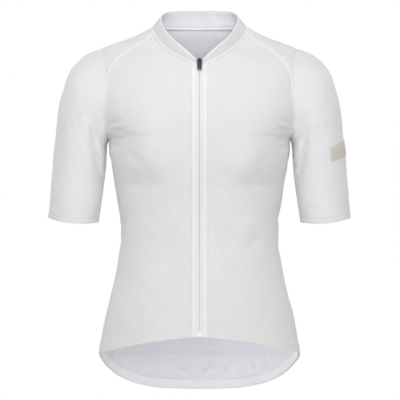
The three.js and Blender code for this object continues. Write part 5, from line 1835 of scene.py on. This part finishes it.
class JERSEY_OT_label(bpy.types.Operator):
    """Blank label round the left sleeve"""

    bl_idname = "jersey.label"
    bl_label = "Sleeve label"
    bl_options = {"REGISTER", "UNDO"}

    def execute(self, context):
        own = colours()
        woven = cloth_look("Label Weave", own.label, weave_group(), 0.12, 0.7, 0.2, 0.4, Thread_Width=0.9)
        make_cloth("label_patch", label_patch(0.8), "sleeve_label", "label", [woven] * 3, flip=True)
        return {"FINISHED"}


class JERSEY_OT_sewing(bpy.types.Operator):
    """Stitches along every seam and hem"""

    bl_idname = "jersey.sewing"
    bl_label = "Sewing"
    bl_options = {"REGISTER", "UNDO"}

    def execute(self, context):
        own = colours()
        thread = hard_look("Thread", own.thread, 0.75)
        shared = {"Pitch": sizes().stitch_pitch, "Seed": sizes().seed}
        sew("stitches_front", front_sewing(), thread, **shared)
        sew("stitches_back", back_sewing(), thread, **shared)
        sew("stitches_pockets", pocket_sewing(), thread, **shared)
        sew("stitches_inside", inside_sewing(thickness()), thread, **shared)
        sew("stitches_neck", neck_cover(thickness()), thread, Pitch=0.0013, Length=0.0018, Width=0.0028,
            Height=0.0011, Uneven=0.0, Seed=sizes().seed)
        sew("stitches_sleeves", sleeve_sewing(), thread, **shared)
        sew("stitches_collar", collar_sewing(thickness("collar_cloth")), thread, **shared)
        return {"FINISHED"}


class JERSEY_OT_studio(bpy.types.Operator):
    """Pale floor, soft lights and the camera"""

    bl_idname = "jersey.studio"
    bl_label = "Studio"
    bl_options = {"REGISTER", "UNDO"}

    def execute(self, context):
        mesh = bpy.data.meshes.new("studio_floor")
        half, level = 5.0, -1.3
        corners = [(-half, -half, level), (half, -half, level), (half, half, level), (-half, half, level)]
        mesh.from_pydata(corners, [], [(0, 1, 2, 3)])
        floor = bpy.data.objects.new("studio_floor", mesh)
        bpy.context.scene.collection.objects.link(floor)
        pale = bpy.data.materials.new("Studio Floor")
        pale.use_nodes = True
        shader = pale.node_tree.nodes["Principled BSDF"]
        shader.inputs["Base Color"].default_value = (0.93, 0.93, 0.93, 1)
        shader.inputs["Roughness"].default_value = 0.9
        shader.inputs["Emission Color"].default_value = (1.0, 1.0, 1.0, 1)
        seen = new_node(pale.node_tree, "ShaderNodeLightPath")
        lit = math_node(pale.node_tree, "MULTIPLY", seen.outputs["Is Camera Ray"], 0.45)
        link(pale.node_tree, lit, shader.inputs["Emission Strength"])
        mesh.materials.append(pale)
        world = bpy.data.worlds.new("Studio")
        world.use_nodes = True
        tree = world.node_tree
        soft = tree.nodes["Background"]
        soft.inputs["Color"].default_value = (1.0, 1.0, 1.0, 1)
        soft.inputs["Strength"].default_value = 0.385
        seen = new_node(tree, "ShaderNodeBackground")
        seen.inputs["Strength"].default_value = 1.0
        seen.inputs["Color"].default_value = (1.0, 1.0, 1.0, 1)
        path, mixed = new_node(tree, "ShaderNodeLightPath"), new_node(tree, "ShaderNodeMixShader")
        link(tree, path.outputs["Is Camera Ray"], mixed.inputs[0])
        link(tree, soft.outputs[0], mixed.inputs[1])
        link(tree, seen.outputs[0], mixed.inputs[2])
        link(tree, mixed.outputs[0], tree.nodes["World Output"].inputs["Surface"])
        bpy.context.scene.view_settings.view_transform = "Standard"
        bpy.context.scene.world = world
        for title, place, size, power in STUDIO_LIGHTS:
            lamp = bpy.data.lights.new(title, "AREA")
            lamp.shape = "RECTANGLE"
            lamp.size, lamp.size_y = size
            lamp.energy = power
            holder = bpy.data.objects.new(title, lamp)
            holder.location = place
            aim = Vector((0, 0, -0.28)) - Vector(place)
            holder.rotation_euler = aim.to_track_quat("-Z", "Y").to_euler()
            bpy.context.scene.collection.objects.link(holder)
        for title, place, power in HOLLOW_LIGHTS:
            lamp = bpy.data.lights.new(title, "POINT")
            lamp.energy, lamp.shadow_soft_size = power, 0.04
            holder = bpy.data.objects.new(title, lamp)
            holder.location = place
            holder.visible_camera = False
            bpy.context.scene.collection.objects.link(holder)
        camera = bpy.data.cameras.new("Studio Camera")
        camera.lens, camera.sensor_width = 163.6, 36
        camera.clip_end = 50
        holder = bpy.data.objects.new("Studio Camera", camera)
        holder.location = (0.0008, -3.0, -0.2805)
        holder.rotation_euler = (math.pi / 2, 0, 0)
        bpy.context.scene.collection.objects.link(holder)
        bpy.context.scene.camera = holder
        return {"FINISHED"}


# Lights: name, place in metres, width and height, power
STUDIO_LIGHTS = [
    ("Key", (-0.05, -1.5, 1.5), (1.3, 0.8), 22.5),
    ("Front", (0.1, -3.6, 0.1), (1.2, 1.2), 31.0),
    ("Rim Right", (-1.7, 1.3, 0.3), (1.2, 1.8), 10.0),
    ("Rim Left", (1.7, 1.3, 0.3), (1.2, 1.8), 8.0),
]

# Fill inside the hollow garment: name, place in metres, power
HOLLOW_LIGHTS = [("Neck Fill", (0, -0.035, -0.045), 0.018), ("Hem Fill", (0.09, 0.0, -0.5), 0.07)]


class JERSEY_PT_panel(bpy.types.Panel):
    """Sizes, colours and the pieces to build"""

    bl_idname = "JERSEY_PT_panel"
    bl_label = "Cycling Jersey"
    bl_space_type = "VIEW_3D"
    bl_region_type = "UI"
    bl_category = "Jersey"

    def draw(self, context):
        for group in (context.scene.jersey_sizes, context.scene.jersey_colours):
            box = self.layout.box()
            for title in group.__annotations__:
                box.prop(group, title)
        for operator in PIECES:
            self.layout.operator(operator.bl_idname)


PIECES = (
    JERSEY_OT_body, JERSEY_OT_shoulders, JERSEY_OT_sleeves, JERSEY_OT_collar, JERSEY_OT_zip,
    JERSEY_OT_pockets, JERSEY_OT_hem, JERSEY_OT_label, JERSEY_OT_sewing, JERSEY_OT_studio,
)
CLASSES = (JerseySizes, JerseyColours, *PIECES, JERSEY_PT_panel)


def register():
    for item in CLASSES:
        bpy.utils.register_class(item)
    bpy.types.Scene.jersey_sizes = PointerProperty(type=JerseySizes)
    bpy.types.Scene.jersey_colours = PointerProperty(type=JerseyColours)


def unregister():
    del bpy.types.Scene.jersey_sizes
    del bpy.types.Scene.jersey_colours
    for item in reversed(CLASSES):
        bpy.utils.unregister_class(item)


def main():
    register()
    for operator in PIECES:
        group, name = operator.bl_idname.split(".")
        getattr(getattr(bpy.ops, group), name)()


if __name__ == "__main__":
    main()
